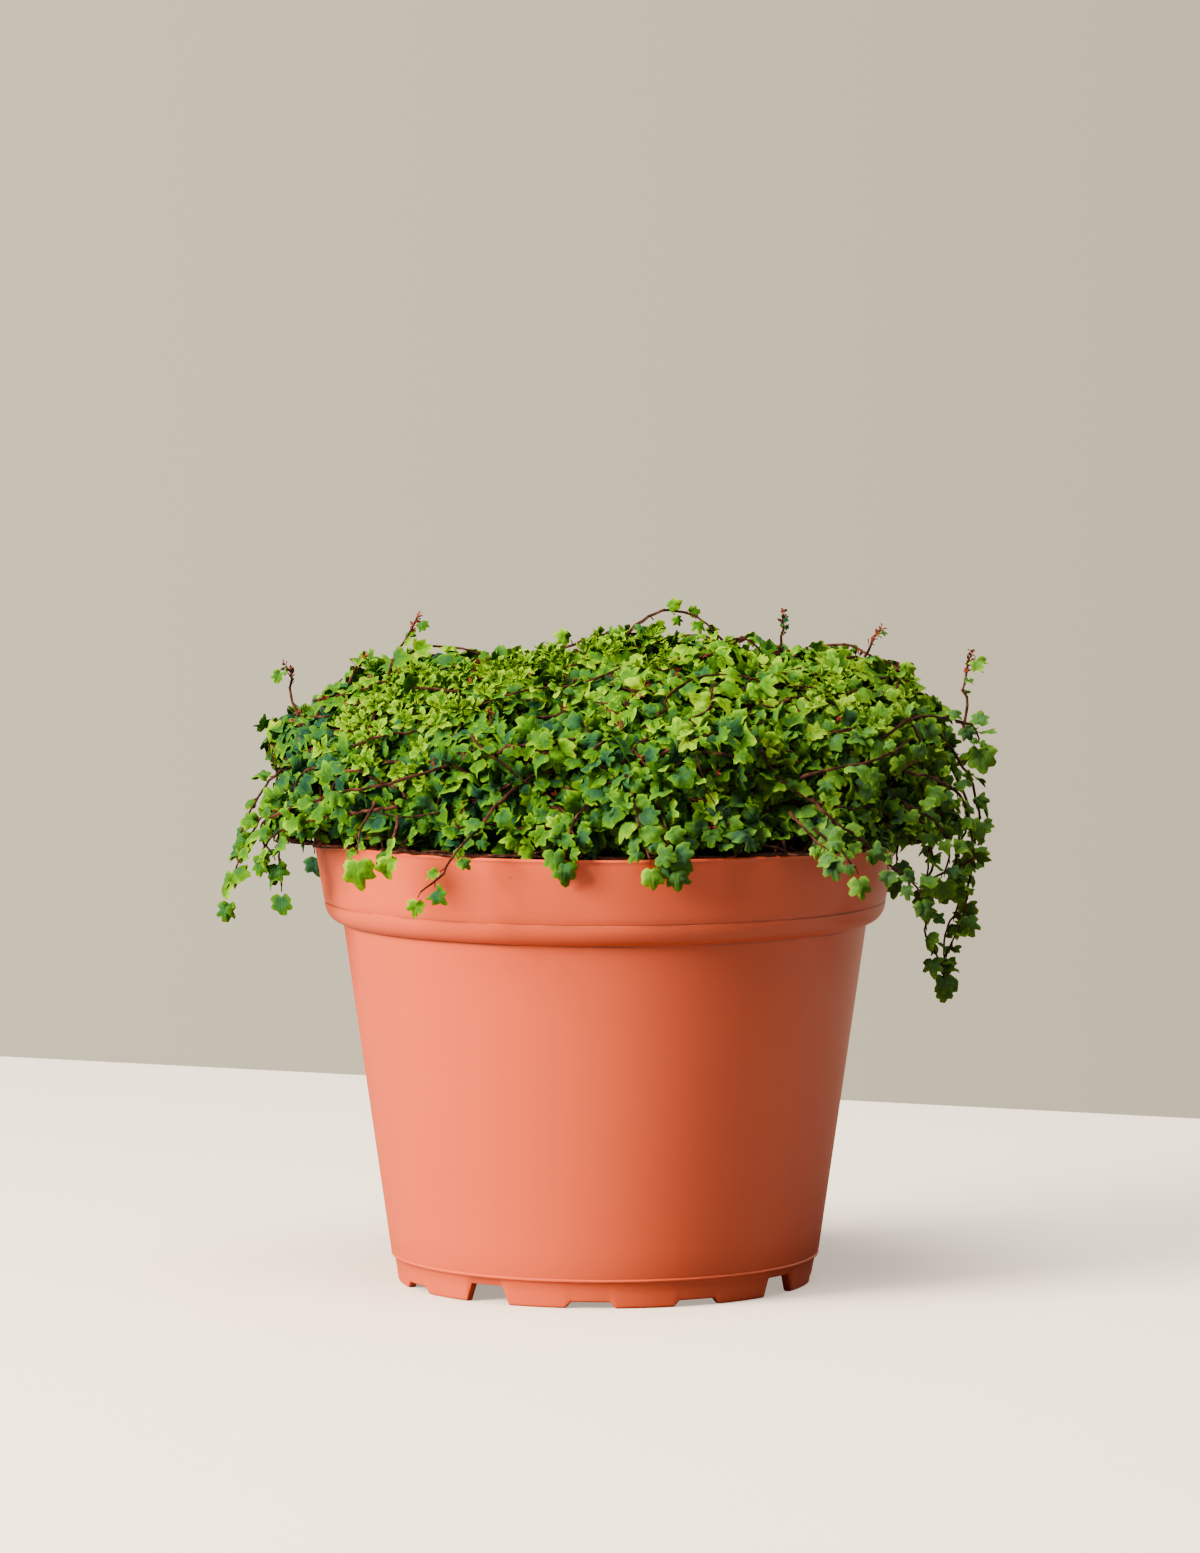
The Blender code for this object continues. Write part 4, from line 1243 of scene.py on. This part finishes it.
class FROGS_OT_stage(bpy.types.Operator):
    """Make the pale table, the backdrop's colour, the soft lights and the camera"""
    bl_idname = "frogs.stage"
    bl_label = "Stage"

    def execute(self, context):
        settings = context.scene.frogs_stage
        lean = TABLE_HALF * math.tan(math.radians(TABLE_TURN_DEG))
        corners = np.array([
            [-TABLE_HALF, TABLE_FRONT, 0], [TABLE_HALF, TABLE_FRONT, 0],
            [TABLE_HALF, TABLE_BACK + lean, 0], [-TABLE_HALF, TABLE_BACK - lean, 0],
        ])
        floor = new_piece("table", corners, [np.array([[0, 1, 2, 3]])], plain_floor(settings))
        self.backdrop(context.scene, settings)
        area_light("key", (-1.36, -0.73, 0.76), size=0.95, power=153.0, tint=(1.0, 0.90, 0.70))
        area_light("top", (-0.10, -0.45, 1.95), size=1.30, power=74.0, tint=(1.0, 0.92, 0.76))
        camera = bpy.data.cameras.new("camera")
        camera.lens = 165.2
        camera.sensor_width = 36.0
        eye = bpy.data.objects.new("camera", camera)
        eye.location = CAMERA_PLACE
        eye.rotation_euler = (math.radians(90 - CAMERA_DOWN_DEG), 0.0, 0.0)
        context.scene.collection.objects.link(eye)
        context.scene.camera = eye
        return {"FINISHED"}

    def backdrop(self, scene, settings):
        """The camera sees the backdrop's colour, a little darker towards +X. Reflections see it
        with a black flag on the left and a white card on the right; all else is lit by a dim sky,
        brightest overhead."""
        world = bpy.data.worlds.new("studio")
        world.use_nodes = True
        nodes = world.node_tree.nodes
        node = functools.partial(add_node, world.node_tree)
        rays = node("LightPath").node.outputs
        parts = node("SeparateXYZ", [node("TexCoord", out="Generated")]).node.outputs
        across = parts["X"]
        # Painted shade: the backdrop the camera sees falls darker towards +X, away from the key.
        fade = node("MapRange", [across, -0.08, 0.08, 1.12, 0.90])
        flag = node("MapRange", [across, -0.5, 0.3, 0.1, 1.0])
        card = node("MapRange", [across, 0.72, 0.95, 0.0, 2.0])
        gain = node("Mix", {
            "Factor": rays["Is Glossy Ray"], "A": 1.0,
            "B": node("Math", [flag, card], operation="ADD"),
        }, "Result", data_type="FLOAT")
        seen = node("Background", {
            "Color": (*settings.wall, 1.0),
            "Strength": node("Math", [fade, gain], operation="MULTIPLY"),
        })
        sky = node("MapRange", [parts["Z"], 0.0, 0.7, 0.08, 0.56])
        feed(nodes["Background"], {"Color": linear("#d9e4fb"), "Strength": sky})
        sight = node("Math", [rays["Is Camera Ray"], rays["Is Glossy Ray"]], operation="MAXIMUM")
        mix = node("MixShader", [sight, nodes["Background"].outputs[0], seen])
        feed(nodes["World Output"], {"Surface": mix})
        scene.world = world


# ---- add-on


class FROGS_PT_panel(bpy.types.Panel):
    """Lists what the add-on makes, with its sizes and colours"""
    bl_idname = "FROGS_PT_panel"
    bl_label = "Potted string of frogs"
    bl_space_type = "VIEW_3D"
    bl_region_type = "UI"
    bl_category = "Frogs"

    def draw(self, context):
        for group in (getattr(context.scene, name) for name in SETTINGS):
            for name in group.__annotations__:
                self.layout.prop(group, name)
        for operator in OPERATORS:
            self.layout.operator(operator.bl_idname)


OPERATORS = [FROGS_OT_stage, FROGS_OT_pot, FROGS_OT_potting_mix, FROGS_OT_mound,
             FROGS_OT_new_growth, FROGS_OT_trails]
CLASSES = [PotSettings, PlantSettings, StageSettings, *OPERATORS, FROGS_PT_panel]
SETTINGS = {"frogs_pot": PotSettings, "frogs_plant": PlantSettings, "frogs_stage": StageSettings}


def register():
    for cls in CLASSES:
        bpy.utils.register_class(cls)
    for name, group in SETTINGS.items():
        setattr(bpy.types.Scene, name, bpy.props.PointerProperty(type=group))


def unregister():
    for name in SETTINGS:
        delattr(bpy.types.Scene, name)
    for cls in reversed(CLASSES):
        bpy.utils.unregister_class(cls)


def main():
    register()
    bpy.ops.frogs.stage()
    bpy.ops.frogs.pot()
    bpy.ops.frogs.potting_mix()
    bpy.ops.frogs.mound()
    bpy.ops.frogs.new_growth()
    bpy.ops.frogs.trails()


if __name__ == "__main__":
    main()
